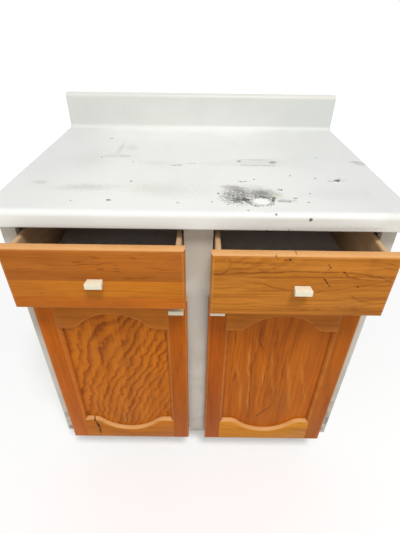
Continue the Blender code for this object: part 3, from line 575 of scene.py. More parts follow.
def length_of(vector):
    return node("ShaderNodeVectorMath", {0: vector}, operation="LENGTH").outputs["Value"]


def split(vector):
    return node("ShaderNodeSeparateXYZ", {0: vector}).outputs


def combined(x, y, z):
    return node("ShaderNodeCombineXYZ", {0: x, 1: y, 2: z}).outputs[0]


def ranged(value, low, high, to_low=0.0, to_high=1.0):
    """A value between low and high, eased to the other range."""
    values = {"Value": value, "From Min": low, "From Max": high, "To Min": to_low, "To Max": to_high}
    return node("ShaderNodeMapRange", values, interpolation_type="SMOOTHSTEP").outputs[0]


def solid(value):
    """A colour of three numbers with its alpha; a socket stays as it is."""
    return value if isinstance(value, bpy.types.NodeSocket) else (*value[:3], 1.0)


def toned(base, factors):
    """A colour with each of its parts times a factor."""
    return [part * factor for part, factor in zip(base, factors)]


def mixed(factor, first, second, blend_type="MIX"):
    values = {0: factor, 6: solid(first), 7: solid(second)}
    return node("ShaderNodeMix", values, data_type="RGBA", blend_type=blend_type).outputs[2]


def noise(vector, scale, detail=2.0, roughness=0.5, stretch=None, distortion=0.0, output="Fac"):
    """Noise about 0.5; stretch gives factors for its vector, below 1 for longer grain."""
    if stretch:
        vector = vector_calc("MULTIPLY", vector, stretch)
    values = {
        "Vector": vector, "Scale": scale, "Detail": detail, "Roughness": roughness,
        "Distortion": distortion,
    }
    return node("ShaderNodeTexNoise", values).outputs[output]


def wavering(vector, scale, amount, stretch=None):
    """A small smooth move that changes from place to place."""
    cloud = noise(vector, scale, stretch=stretch, output="Color")
    return scaled(vector_calc("SUBTRACT", cloud, (0.5, 0.5, 0.5)), amount)


def upward(tree):
    """How far the surface faces up: 1 on top, 0 upright, -1 below."""
    return split(tree.nodes.new("ShaderNodeTexCoord").outputs["Normal"])[2]


def seen_directly(tree):
    """1 where the camera sees the surface, also in a reflection or through glass, and 0 for its light."""
    path = tree.nodes.new("ShaderNodeLightPath").outputs
    return highest(path["Is Camera Ray"], path["Is Glossy Ray"], path["Is Transmission Ray"])


def title_of(build):
    """The name of what a function builds: the words before the colon in its docstring."""
    return build.__doc__.split(":")[0]


def start_group(name, inputs, outputs):
    """A new shader node group; gives its tree and its inputs by name."""
    tree = bpy.data.node_groups.new(name, "ShaderNodeTree")
    for in_out, sockets in (("INPUT", inputs), ("OUTPUT", outputs)):
        for label, kind in sockets.items():
            tree.interface.new_socket(label, in_out=in_out, socket_type=kind)
    return tree, tree.nodes.new("NodeGroupInput").outputs


def grouped(build, values):
    """The outputs of a node of the group that build makes on its first use."""
    name = title_of(build)
    group = bpy.data.node_groups.get(name) or build(name)
    return node("ShaderNodeGroup", values, node_tree=group).outputs


def mark_group(name):
    """Surface mark: one ragged spot, streak or patch on the XY plane of its vector."""
    inputs = {
        "Vector": VECTOR, "Centre": VECTOR, "Half Size": VECTOR, "Turn": VALUE, "Softness": VALUE,
        "Raggedness": VALUE, "Strength": VALUE,
    }
    tree, given = start_group(name, inputs, {"Mask": VALUE})
    moved = vector_calc("SUBTRACT", given["Vector"], given["Centre"])
    values = {"Vector": moved, "Angle": given["Turn"]}
    turned = node("ShaderNodeVectorRotate", values, rotation_type="Z_AXIS").outputs[0]
    fitted = vector_calc("DIVIDE", turned, given["Half Size"])
    far = length_of(vector_calc("MULTIPLY", fitted, (1.0, 1.0, 0.0)))
    rough_edge = minus(noise(given["Vector"], 160.0, 3.0, 0.65), 0.5)
    rough_edge = times(rough_edge, times(given["Raggedness"], 2.4))
    start = minus(1.0, given["Softness"])
    end = plus(1.0, times(given["Softness"], 0.4))
    inside = ranged(plus(far, rough_edge), start, end, 1.0, 0.0)
    node("NodeGroupOutput", {"Mask": times(inside, given["Strength"], clamp=True)})
    return tree


def rings_group(name):
    """Log rings: how far a point is from the heart of a log that grows along Z and wanders."""
    inputs = {"Vector": VECTOR, "Heart": VECTOR, "Lean": VECTOR, "Wander": VALUE}
    tree, given = start_group(name, inputs, {"Distance": VALUE})
    along = split(given["Vector"])[2]
    heart = vector_calc("ADD", given["Heart"], scaled(given["Lean"], along))
    away = vector_calc("SUBTRACT", given["Vector"], heart)
    wander = wavering(given["Vector"], 14.0, given["Wander"], (1.0, 1.0, 0.35))
    flat = vector_calc("MULTIPLY", vector_calc("ADD", away, wander), (1.0, 1.0, 0.0))
    node("NodeGroupOutput", {"Distance": length_of(flat)})
    return tree


def flame_group(name):
    """Veneer flame: wavy bands, upright on the left and leaning to the right on the right."""
    tree, given = start_group(name, {"Vector": VECTOR, "Middle": VECTOR}, {"Distance": VALUE})
    place = vector_calc("SUBTRACT", given["Vector"], given["Middle"])
    x, _y, z = split(place)
    lean = ranged(x, -0.12, 0.06, 0.18, 0.50)
    crowded = times(x, plus(times(x, 0.5), 0.95))
    bands = minus(crowded, times(lean, z))
    for stretch, scale, amount in (
        ((1.0, 1.0, 0.8), 7.0, 0.056), ((0.8, 1.0, 1.0), 30.0, 0.030), ((1.0, 1.0, 1.0), 85.0, 0.007),
    ):
        bands = plus(bands, times(noise(place, scale, 1.0, stretch=stretch), amount))
    node("NodeGroupOutput", {"Distance": bands})
    return tree


def timber_group(name):
    """Timber figure: rings, fibres and pores of a board whose grain runs along Z."""
    inputs = {
        "Vector": VECTOR, "Distance": VALUE, "Ring Width": VALUE, "Ring Contrast": VALUE, "Light": COLOUR,
        "Dark": COLOUR, "Pores": VALUE, "Bunching": VALUE, "Streaks": VALUE, "Faintest Ring": VALUE,
    }
    tree, given = start_group(name, inputs, {"Colour": COLOUR, "Height": VALUE, "Roughness": VALUE})
    vector = given["Vector"]
    tone = noise(vector, 24.0, stretch=(1.0, 1.0, 0.10))
    fibre = noise(vector, 480.0, 3.0, 0.6, (1.0, 1.0, 0.035))
    streak = noise(vector, 130.0, 2.0, 0.6, (1.0, 1.0, 0.03))
    pit = noise(vector, 1100.0, 1.0, 0.4, (1.0, 1.0, 0.05))
    turns = calc("DIVIDE", given["Distance"], given["Ring Width"])
    bunched = noise(combined(turns, 0.0, 0.0), 0.23, 1.0)
    turns = plus(turns, times(bunched, given["Bunching"]))
    turns = plus(turns, calc("DIVIDE", times(streak, 0.0026), given["Ring Width"]))
    # Each ring darkens over its first sixth and fades until three quarters, and some rings are faint.
    phase = calc("FRACT", turns)
    early = times(ranged(phase, 0.0, 0.16), ranged(phase, 0.18, 0.75, 1.0, 0.0))
    uneven = noise(combined(calc("FLOOR", turns), 0.0, 0.0), 3.7, 0.0)
    early = times(early, ranged(uneven, 0.32, 0.68, given["Faintest Ring"], 1.0))
    broken = noise(vector, 26.0, 2.0, 0.6, (1.0, 1.0, 0.5))
    early = times(early, ranged(broken, 0.34, 0.56, 0.45, 1.0))
    pores = times(ranged(pit, 0.56, 0.66), given["Pores"])
    pores = times(pores, plus(times(early, 0.75), 0.25))
    shade = times(early, given["Ring Contrast"])
    shade = plus(shade, ranged(tone, 0.3, 0.7, 0.0, 0.26))
    shade = plus(shade, ranged(fibre, 0.3, 0.7, 0.0, 0.22))
    shade = plus(shade, ranged(streak, 0.38, 0.66, 0.0, given["Streaks"]))
    shade = plus(shade, times(pores, 0.38), clamp=True)
    height = times(plus(pores, times(early, 0.25)), -1.0)
    node("NodeGroupOutput", {
        "Colour": mixed(shade, given["Light"], given["Dark"]),
        "Height": plus(height, times(fibre, 0.3)),
        "Roughness": plus(ranged(tone, 0.3, 0.7, 0.30, 0.40), times(pores, 0.2)),
    })
    return tree


def grime_group(name):
    """Settled dirt: cloudy patches that break up into specks."""
    inputs = {"Vector": VECTOR, "Scale": VALUE, "Amount": VALUE}
    tree, given = start_group(name, inputs, {"Mask": VALUE})
    cloud = noise(given["Vector"], given["Scale"], 5.0, 0.62, distortion=0.4)
    fine = noise(given["Vector"], times(given["Scale"], 22.0), 3.0, 0.6)
    patch = times(ranged(cloud, 0.42, 0.78), ranged(fine, 0.25, 0.65, 0.45, 1.0))
    node("NodeGroupOutput", {"Mask": times(patch, given["Amount"], clamp=True)})
    return tree


def worn_group(name):
    """Worn edges: where the finish has rubbed off the rounded edges, save those that face down."""
    inputs = {"Vector": VECTOR, "Scale": VALUE, "Patchiness": VALUE, "Amount": VALUE}
    tree, given = start_group(name, inputs, {"Mask": VALUE})
    edge = tree.nodes.new("ShaderNodeAttribute")
    edge.attribute_name = "eased_edge"
    rub = noise(given["Vector"], given["Scale"], 4.0, 0.6)
    rubbed = ranged(rub, 0.40, 0.62, minus(1.0, given["Patchiness"]), 1.0)
    worn = times(times(edge.outputs["Fac"], rubbed), ranged(upward(tree), -0.5, 0.0))
    node("NodeGroupOutput", {"Mask": times(worn, given["Amount"], clamp=True)})
    return tree


def painted_top_light_group(name):
    """Bleached tops: upward faces, where sun and wiping have paled the lacquer."""
    tree, given = start_group(name, {"Vector": VECTOR, "Amount": VALUE}, {"Mask": VALUE})
    cloud = noise(given["Vector"], 30.0, 3.0, stretch=(0.4, 1.0, 1.0))
    pale = times(ranged(upward(tree), 0.25, 0.75), ranged(cloud, 0.2, 0.6, 0.7, 1.0))
    node("NodeGroupOutput", {"Mask": times(pale, given["Amount"], clamp=True)})
    return tree


# What the finishes share


def made_once(build):
    """The material that build makes on its first use."""
    name = title_of(build)
    return bpy.data.materials.get(name) or build(name)


def start_material(name, coat=0.0, coat_roughness=0.1, metallic=0.0, specular=0.5):
    """A new material; gives it and the Object coordinates."""
    material = bpy.data.materials.new(name)
    material.use_nodes = True
    nodes = material.node_tree.nodes
    shader = nodes["Principled BSDF"]
    shader.inputs["Metallic"].default_value = metallic
    shader.inputs["Specular IOR Level"].default_value = specular
    shader.inputs["Coat Weight"].default_value = coat
    shader.inputs["Coat Roughness"].default_value = coat_roughness
    return material, nodes.new("ShaderNodeTexCoord").outputs["Object"]


def complete(material, face, rough, height, depth, strength=0.5):
    """Gives the material's shader its colour, its roughness and a bump of that depth."""
    tree = material.node_tree
    shader = tree.nodes["Principled BSDF"]
    bump = node("ShaderNodeBump", {"Height": height, "Distance": depth, "Strength": strength})
    tree.links.new(face, shader.inputs["Base Color"])
    tree.links.new(rough, shader.inputs["Roughness"])
    tree.links.new(bump.outputs[0], shader.inputs["Normal"])
    return material


def on_front(place):
    """Coordinates in the plane of the front faces: X and Z."""
    x, _y, z = split(place)
    return combined(x, z, 0.0)


def marks(vector, rows, where=1.0):
    """The strongest of the rows' marks at each point, kept to where they may lie."""
    strongest = 0.0
    for x, y, length, width, turn, softness, raggedness, strength in rows:
        mask = grouped(mark_group, {
            "Vector": vector, "Centre": (x / MM_PER_METRE, y / MM_PER_METRE, 0.0),
            "Half Size": (length / MM_PER_METRE, width / MM_PER_METRE, 1.0), "Turn": -math.radians(turn),
            "Softness": softness, "Raggedness": raggedness, "Strength": strength,
        })["Mask"]
        strongest = highest(mask, strongest)
    return times(times(strongest, where), finishes().wear)


def stroke_rows(lines):
    """Lines through points as rows of marks, one for each stretch and a little longer, to join up."""
    rows = []
    for points, width, strength in lines:
        for (x0, z0), (x1, z1) in zip(points, points[1:]):
            half_length = math.hypot(x1 - x0, z1 - z0) / 2 * 1.3 + 2 * width
            turn = math.degrees(math.atan2(z1 - z0, x1 - x0))
            rows.append(((x0 + x1) / 2, (z0 + z1) / 2, half_length, width, turn, 0.75, 0.5, strength))
    return rows


def grimed(place, face, scale, amount, dirt, where=1.0):
    """The face with settled dirt on it, kept to where it may lie."""
    values = {"Vector": place, "Scale": scale, "Amount": amount * finishes().wear}
    grime = times(grouped(grime_group, values)["Mask"], where)
    return mixed(grime, face, dirt)


def worn_edges(place, scale, amount, patchiness=1.0):
    values = {"Vector": place, "Scale": scale, "Patchiness": patchiness, "Amount": amount * finishes().wear}
    return grouped(worn_group, values)["Mask"]


# Laminate, paint and sheet materials


def white_laminate(name):
    """White laminate: post-formed countertop, scratched, with a burnt and peeled patch."""
    material, place = start_material(name, coat=0.05, coat_roughness=0.25, specular=0.35)
    x, y, z = split(place)
    front = on_front(place)
    # Painted light: the deck is painted lighter towards the rear.
    rear = ranged(y, 0.10, 0.33, 0.0, 0.8)
    # Painted shade: the deck is painted darker towards both sides.
    sides = highest(ranged(x, 0.08, 0.38, 0.0, 0.9), ranged(x, -0.18, -0.40, 0.0, 0.75))
    # The nose's zone. Its rolled top is painted lighter as a painted highlight, and the zone also bounds
    # the nose's stains and soot.
    forward = ranged(y, -0.258, -0.270)
    # The nose's front: yellowed, and painted lighter to stand in for light falling on it.
    nose = times(forward, ranged(z, 0.912, 0.903))
    stain = times(forward, marks(front, NOSE_STAINS))
    # Painted shade: the backsplash's upright face is painted darker.
    splash_painted_shade = ranged(y, 0.335, 0.349, 0.0, 0.85)
    # The backsplash's rolled top: a warm tint, painted darker as painted shade.
    splash_roll_painted_shade = ranged(z, 1.000, 1.009, 0.0, 0.8)
    cloud = noise(place, 3.2, 3.0, 0.55)
    face = finishes().laminate
    clouded = ranged(cloud, 0.35, 0.7, 0.0, 0.35)
    # Each zone blends into its own colour: painted light towards the rear, painted shade towards the sides,
    # a painted highlight on the nose's rolled top, the nose's front yellowed and painted lighter, painted
    # shade on the backsplash's face and its rolled top, and clouds of uneven ageing.
    for mask, shade in (
        (rear, (0.90, 0.90, 0.865)), (sides, (0.665, 0.678, 0.66)), (forward, (0.83, 0.83, 0.81)),
        (nose, finishes().laminate_nose_with_painted_light), (stain, (0.66, 0.635, 0.50)), (splash_painted_shade, (0.685, 0.70, 0.665)),
        (splash_roll_painted_shade, (0.70, 0.695, 0.64)), (clouded, (0.77, 0.765, 0.72)),
    ):
        face = mixed(mask, face, shade)
    face = grimed(place, face, 5.0, 0.22, (0.50, 0.48, 0.43))
    dots = noise(place, 700.0, 1.0)
    face = mixed(ranged(dots, 0.62, 0.70, 0.0, 0.10), face, (0.55, 0.54, 0.52))
    deck = ranged(z, 0.9030, 0.9085)
    for rows, shade in (
        (GREY_MARKS, (0.42, 0.41, 0.385)), (YELLOW_MARKS, (0.56, 0.55, 0.38)),
        (BROWN_MARKS, (0.20, 0.155, 0.12)), (SMOKE_MARKS, (0.13, 0.125, 0.115)),
    ):
        face = mixed(marks(place, rows, deck), face, shade)
    speckle = ranged(noise(place, 210.0, 4.0, 0.7), 0.50, 0.56)
    speckle = times(speckle, marks(place, SPECKLED_MARKS, deck))
    soot = times(forward, marks(front, NOSE_MARKS))
    soot = highest(soot, marks(place, SOOT_MARKS, deck))
    bare = marks(place, BARE_MARKS, deck)
    for mask, shade in (
        (speckle, (0.05, 0.042, 0.035)), (soot, (0.085, 0.075, 0.065)), (bare, (0.84, 0.835, 0.81)),
    ):
        face = mixed(mask, face, shade)
    dull = plus(ranged(cloud, 0.3, 0.7, 0.36, 0.50), times(soot, 0.3))
    peel = times(highest(bare, speckle), -3.0)
    return complete(material, face, dull, plus(noise(place, 900.0), peel), 0.00012, 0.6)


def coated(name, base, chips, dirt):
    """A coat of paint or melamine, worn and chipped to what lies under it, dirtier towards the floor."""
    material, place = start_material(name)
    z = split(place)[2]
    brush = noise(place, 320.0, stretch=(1.0, 1.0, 0.05))
    cloud = noise(place, 5.0, 4.0, 0.6)
    face = mixed(ranged(cloud, 0.35, 0.7, 0.0, 0.5), base, (0.64, 0.61, 0.545))
    low = ranged(z, 0.16, 0.62, 1.0, 0.25)
    face = grimed(place, face, 9.0, dirt, (0.24, 0.21, 0.17), low)
    worn = worn_edges(place, 34.0, 0.55)
    face = mixed(worn, face, (0.46, 0.40, 0.31))
    if chips:
        face = mixed(marks(on_front(place), chips), face, (0.17, 0.145, 0.12))
    height = plus(brush, times(worn, -1.5))
    return complete(material, face, ranged(cloud, 0.3, 0.7, 0.42, 0.6), height, 0.00015)


def white_paint(name):
    """White paint: face frame."""
    return coated(name, finishes().paint, CHIPS, 0.75)


def white_melamine(name):
    """White melamine: carcass boards."""
    return coated(name, finishes().melamine, (), 0.36)


def chipboard(name):
    """Raw chipboard: battens under the countertop."""
    material, place = start_material(name, specular=0.2)
    chips = node("ShaderNodeTexVoronoi", {"Vector": place, "Scale": 420.0, "Randomness": 1.0}).outputs
    fine = noise(place, 900.0)
    face = mixed(split(chips["Color"])[0], (0.56, 0.41, 0.25), (0.36, 0.24, 0.13))
    face = mixed(ranged(fine, 0.55, 0.75, 0.0, 0.5), face, (0.20, 0.13, 0.07))
    height = plus(chips["Distance"], fine)
    return complete(material, face, ranged(fine, 0.3, 0.7, 0.78, 0.92), height, 0.0004, 0.7)


def hardboard(name):
    """Brown hardboard: back panel and drawer bottoms."""
    material, place = start_material(name, specular=0.3)
    cloud = noise(place, 12.0, 4.0, 0.6)
    felt = noise(place, 620.0, 3.0, 0.7)
    face = mixed(cloud, (0.34, 0.215, 0.115), (0.24, 0.145, 0.075))
    face = mixed(ranged(felt, 0.4, 0.75, 0.0, 0.6), face, (0.15, 0.09, 0.045))
    return complete(material, face, ranged(felt, 0.3, 0.7, 0.52, 0.72), felt, 0.0002, 0.6)


def coated_hardboard(name):
    """Coated hardboard: drawer bottoms, pale above and brown below."""
    material, place = start_material(name, specular=0.3)
    felt = noise(place, 620.0, 3.0, 0.7)
    brown = mixed(ranged(felt, 0.4, 0.75), (0.30, 0.185, 0.10), (0.17, 0.10, 0.05))
    pale = mixed(ranged(felt, 0.5, 0.8, 0.0, 0.2), (0.80, 0.785, 0.79), (0.62, 0.59, 0.58))
    pale = grimed(place, pale, 11.0, 0.4, (0.24, 0.20, 0.16))
    face = mixed(ranged(upward(material.node_tree), 0.6, 0.9), brown, pale)
    return complete(material, face, ranged(felt, 0.3, 0.7, 0.48, 0.66), felt, 0.00015)


# Timber


def turned_vector(place, along):
    """Object coordinates turned so that a board's grain, along X, Y or Z, lies along Z."""
    turn = {"X": (0.0, math.pi / 2, 0.0), "Y": (math.pi / 2, 0.0, 0.0), "Z": (0.0, 0.0, 0.0)}[along]
    return node("ShaderNodeMapping", {"Vector": place, "Rotation": turn}).outputs[0]


def plain_log(heart, lean, wander):
    """Plain figure, for a board: where its log's heart is, and how it leans and wanders."""
    return rings_group, {"Heart": (*heart, 0.0), "Lean": (*lean, 0.0), "Wander": wander}


def timber(vector, log, ring, contrast, light, dark, pores=0.6, bunching=2.2, streaks=0.14, faintest=0.12):
    """The outputs of a board's figure, cut from the log."""
    build, values = log
    return grouped(timber_group, {
        "Vector": vector, "Distance": grouped(build, {"Vector": vector, **values})["Distance"],
        "Ring Width": ring, "Ring Contrast": contrast, "Light": solid(light), "Dark": solid(dark),
        "Pores": pores, "Bunching": bunching, "Streaks": streaks, "Faintest Ring": faintest,
    })


def birch(name):
    """Birch: drawer sides and backs."""
    material, place = start_material(name, specular=0.35)
    vector = turned_vector(place, "Y")
    light = finishes().birch
    log = plain_log((0.1, -0.6), (0.05, 0.08), 0.02)
    figure = timber(vector, log, 0.007, 0.35, light, toned(light, (0.66, 0.58, 0.5)), pores=0.15)
    face = grimed(place, figure["Colour"], 14.0, 0.4, (0.30, 0.20, 0.12))
    return complete(material, face, plus(figure["Roughness"], 0.18), figure["Height"], 0.00015, 0.6)


def glued_staves(place, vector, staves):
    """A board glued from staves, each with its lower edge and tint: its vector in each, and its tint."""
    z = split(place)[2]
    number, tint = 0.0, staves[0][1]
    for joint, next_tint in staves[1:]:
        above = calc("GREATER_THAN", z, joint)
        number = plus(above, number)
        tint = mixed(above, tint, next_tint)
    return vector_calc("ADD", vector, scaled(STAVE_SHIFT, number)), tint


def streaked(place, face, lines, stain):
    """The face with lines drawn along its grain, a little unsteady."""
    if not lines:
        return face
    drawn = vector_calc("ADD", on_front(place), wavering(place, 26.0, 0.010))
    return mixed(marks(drawn, stroke_rows(lines)), face, stain)


def oak(name, along, log, ring, contrast, tint=(1.0, 1.0, 1.0), flaws=(), lines=(), pale_lines=(),
        staves=(), **figure_settings):
    """Lacquered oak from its own log, with its flaws and its darker and paler grain lines."""
    material, place = start_material(name, coat=0.015, coat_roughness=0.2, specular=0.07)
    vector = turned_vector(place, along)
    if staves:
        vector, stave_tint = glued_staves(place, vector, staves)
    light, dark = toned(finishes().oak_light, tint), toned(finishes().oak_dark, tint)
    figure = timber(vector, log, ring, contrast, light, dark, **figure_settings)
    face = figure["Colour"]
    if staves:
        face = mixed(1.0, face, stave_tint, "MULTIPLY")
    face = streaked(place, face, lines, (0.15, 0.038, 0.005))
    face = streaked(place, face, pale_lines, (0.70, 0.27, 0.045))
    face = grimed(place, face, 7.0, 0.30, (0.20, 0.075, 0.02))
    # Paler eased edges: partly worn lacquer, partly a painted highlight along the sticking and the
    # roundovers.
    face = mixed(worn_edges(place, 26.0, 0.3, 0.4), face, (0.74, 0.33, 0.085))
    # Painted light: upward faces are painted paler, with a painted highlight along the upward sticking.
    painted_top_light = grouped(painted_top_light_group, {"Vector": place, "Amount": 0.85 * finishes().wear})["Mask"]
    face = mixed(painted_top_light, face, (0.74, 0.395, 0.155))
    if flaws:
        face = mixed(marks(on_front(place), flaws), face, (0.075, 0.017, 0.002))
    return complete(material, face, figure["Roughness"], figure["Height"], 0.00018, 0.7)


# Plastic and metal


def cream_plastic(name):
    """Cream plastic: knobs."""
    material, place = start_material(name)
    cloud = noise(place, 60.0, 3.0)
    base = finishes().knob
    face = mixed(ranged(cloud, 0.35, 0.7, 0.0, 0.5), base, toned(base, (0.9, 0.9, 0.9)))
    face = mixed(worn_edges(place, 180.0, 0.5), face, (0.55, 0.48, 0.34))
    height = noise(place, 1500.0)
    return complete(material, face, ranged(cloud, 0.3, 0.7, 0.30, 0.46), height, 0.00005)


def nylon(name):
    """White nylon: drawer guides."""
    material, place = start_material(name)
    cloud = noise(place, 70.0, 3.0)
    face = mixed(ranged(cloud, 0.4, 0.7), (0.82, 0.81, 0.76), (0.70, 0.68, 0.62))
    height = noise(place, 1200.0)
    return complete(material, face, ranged(cloud, 0.3, 0.7, 0.42, 0.58), height, 0.00005)


def metal(name, base, second, roughness):
    """Metal with a cloudy surface and brighter edges."""
    material, place = start_material(name, metallic=1.0)
    cloud = noise(place, 90.0, 4.0, 0.65)
    face = mixed(ranged(cloud, 0.4, 0.7), base, second)
    rubbed = [min(1.0, part * 1.8 + 0.04) for part in base]
    face = mixed(worn_edges(place, 220.0, 0.7), face, rubbed)
    rough = ranged(cloud, 0.3, 0.7, roughness - 0.08, roughness + 0.14)
    return complete(material, face, rough, cloud, 0.0001)


def dark_bronze(name):
    """Dark bronze: hinges."""
    return metal(name, (0.055, 0.042, 0.033), (0.030, 0.024, 0.020), 0.42)


def zinc_steel(name):
    """Zinc steel: tracks, screws and nails."""
    return metal(name, (0.56, 0.57, 0.58), (0.42, 0.42, 0.41), 0.34)


# Stage


def studio_floor(name):
    """Studio floor: pale, near white to the camera, with the object's shadow kept."""
    material, place = start_material(name, specular=0.1)
    tree = material.node_tree
    shader = tree.nodes["Principled BSDF"]
    shader.inputs["Roughness"].default_value = 0.9
    cloud = noise(place, 1.5)
    tree.links.new(mixed(cloud, (0.86, 0.86, 0.86), (0.88, 0.88, 0.88)), shader.inputs["Base Color"])
    lift = ranged(length_of(place), 0.5, 3.5, 0.16, 0.58)
    values = {"Color": (1.0, 1.0, 1.0, 1.0), "Strength": times(seen_directly(tree), lift)}
    glow = node("ShaderNodeEmission", values)
    both = node("ShaderNodeAddShader", {0: shader.outputs[0], 1: glow.outputs[0]})
    tree.links.new(both.outputs[0], tree.nodes["Material Output"].inputs["Surface"])
    return material


class CABINET_OT_stage(bpy.types.Operator):
    """Set up the floor, the studio light and the camera"""

    bl_idname = "cabinet.stage"
    bl_label = "Stage"

    def execute(self, context):
        self.lay_floor()
        self.light_room(context.scene)
        for name, place, width, power in LAMPS:
            self.add_lamp(name, place, width, power)
        self.add_camera(context.scene)
        context.scene.view_settings.view_transform = "Standard"
        return {"FINISHED"}

    def lay_floor(self):
        deselect_all()
        bpy.ops.mesh.primitive_plane_add(size=FLOOR_SIZE, location=(0.0, 0.0, 0.0))
        floor = bpy.context.object
        floor.name = floor.data.name = "studio_floor"
        floor.data.materials.append(made_once(studio_floor))

    def light_room(self, scene):
        """A soft white room: its light on the object is lower than what the camera sees of it."""
        world = scene.world or bpy.data.worlds.new("Studio room")
        scene.world = world
        world.use_nodes = True
        tree = world.node_tree
        tree.nodes.clear()
        strength = ranged(seen_directly(tree), 0.0, 1.0, ROOM_LIGHT, 1.0)
        room = node("ShaderNodeBackground", {"Color": (1.0, 1.0, 1.0, 1.0), "Strength": strength})
        node("ShaderNodeOutputWorld", {"Surface": room.outputs[0]}, is_active_output=True)

    def add_lamp(self, name, place, width, power):
        turn = (Vector(LIT_POINT) - Vector(place)).to_track_quat("-Z", "Y").to_euler()
        bpy.ops.object.light_add(type="AREA", location=place, rotation=turn)
        lamp = bpy.context.object
        lamp.name = lamp.data.name = name
        lamp.data.shape = "DISK"
        lamp.data.size = width
        lamp.data.energy = power

    def add_camera(self, scene):
        turns = [math.radians(part) for part in CAMERA_TURNS]
        bpy.ops.object.camera_add(location=CAMERA_PLACE, rotation=turns)
        camera = bpy.context.object
        camera.name = camera.data.name = "photo_camera"
        camera.data.lens = CAMERA_LENS
        camera.data.sensor_width = SENSOR_WIDTH
        camera.data.clip_start = CLIP_START
        scene.camera = camera


# Pieces


def postformed(name, left, right, deck_underside):
    """A length of countertop: deck, nose below its front, backsplash above its rear, edges rolled."""
    low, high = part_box("countertop")
    nose_rear, splash_face = low.y + NOSE_DEPTH, high.y - SPLASH_THICKNESS
    piece = block(name, (left, low.y, deck_underside), (right, high.y, DECK_TOP))
    hollow = deck_underside > low.z
    with editing(piece, "FACE"):
        if hollow:
            cut_through((0.0, nose_rear, 0.0), (0.0, 1.0, 0.0))
        cut_through((0.0, splash_face, 0.0), (0.0, 1.0, 0.0))
        pick_faces(piece, lambda middle, normal: normal.z > 0.9 and middle.y > splash_face)
        extrude(z=high.z - DECK_TOP)
        if hollow:
            pick_faces(piece, lambda middle, normal: normal.z < -0.9 and middle.y < nose_rear)
            extrude(z=low.z - deck_underside)
    for y, z, radius, steps in (
        (low.y, DECK_TOP, sizes().nose_top, 14), (low.y, low.z, sizes().nose_bottom, 6),
        (splash_face, DECK_TOP, sizes().cove, 12), (splash_face, high.z, sizes().splash_top, 14),
        (high.y, high.z, sizes().splash_rear, 4),
    ):
        round_edges(piece, lambda end: near(end.y, y) and near(end.z, z), radius, steps)
    with editing(piece, "FACE"):
        bpy.ops.mesh.select_all(action="SELECT")
        bpy.ops.mesh.dissolve_limited(angle_limit=FLAT_ANGLE)
        bpy.ops.mesh.normals_make_consistent(inside=False)
    return piece


class CABINET_OT_countertop(bpy.types.Operator):
    """Model the post-formed countertop and its end caps"""

    bl_idname = "cabinet.countertop"
    bl_label = "Countertop"

    def execute(self, context):
        laminate = made_once(white_laminate)
        low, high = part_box("countertop")
        slab = postformed("countertop_slab", low.x, high.x, low.z + NOSE_DROP)
        finish(slab, "cabinet", "white_laminate", laminate, "countertop")
        for word in ("left", "right"):
            low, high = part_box(f"{word}_end_cap")
            cap = postformed(f"{word}_cap", low.x, high.x, low.z)
            ease_edges(cap, CAP_EASE)
            finish(cap, "cabinet", "white_laminate", laminate, f"{word}_end_cap")
        return {"FINISHED"}


class CABINET_OT_carcass(bpy.types.Operator):
    """Dress the carcass boards, the back and the battens under the countertop"""

    bl_idname = "cabinet.carcass"
    bl_label = "Carcass"

    def execute(self, context):
        panels = (
            "left_side_panel", "right_side_panel", "bottom_panel", "shelf", "toe_kick_board",
            "top_stretcher", "back_nailer",
        )
        battens = ("left_batten", "right_batten", "rear_batten")
        for slot_name, build, names in (
            ("white_melamine", white_melamine, panels), ("hardboard", hardboard, ("back_panel",)),
            ("chipboard", chipboard, battens),
        ):
            for name in names:
                dress(name, "cabinet", slot_name, made_once(build), sizes().board_ease)
        return {"FINISHED"}


class CABINET_OT_face_frame(bpy.types.Operator):
    """Dress the painted stiles and rails of the face frame"""

    bl_idname = "cabinet.face_frame"
    bl_label = "Face Frame"

    def execute(self, context):
        for name in (
            "left_stile", "centre_stile", "right_stile", "left_mid_rail", "right_mid_rail", "bottom_rail",
        ):
            dress(name, "cabinet", "white_paint", made_once(white_paint), sizes().board_ease, 3)
        return {"FINISHED"}


class CABINET_OT_drawer_fronts(bpy.types.Operator):
    """Model the slab drawer fronts with their routed edges"""

    bl_idname = "cabinet.drawer_fronts"
    bl_label = "Drawer Fronts"

    def execute(self, context):
        # The left front is glued from three staves: the height of each one's lower edge, and its tint
        staves = ((0.0, (1.02, 0.88, 0.75)), (0.745, (1.10, 1.12, 0.95)), (0.787, (0.88, 0.84, 1.15)))
        log = plain_log((0.60, -0.30), (0.01, 0.05), 0.016)
        left = oak("Honey oak, left drawer front", "X", log, 0.0062, 0.16, lines=LEFT_FRONT_LINES,
                   staves=staves)
        log = plain_log((0.862, -0.345), (0.05, -0.22), 0.024)
        right = oak("Honey oak, right drawer front", "X", log, 0.0085, 0.26, (1.0, 1.12, 1.45), SPLINTERS,
                    RIGHT_FRONT_LINES, RIGHT_FRONT_PALE_LINES, streaks=0.34)
        for word, material in (("left", left), ("right", right)):
            low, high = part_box(f"{word}_drawer_front")
            piece = block(f"{word}_drawer_slab", low, high)
            round_edges(piece, lambda end: near(end.y, low.y), sizes().front_roundover, 10)
            round_edges(piece, lambda end: near(end.y, high.y), FRONT_REAR_EASE, 3)
            finish(piece, f"{word}_drawer", "honey_oak", material, f"{word}_drawer_front")
        return {"FINISHED"}


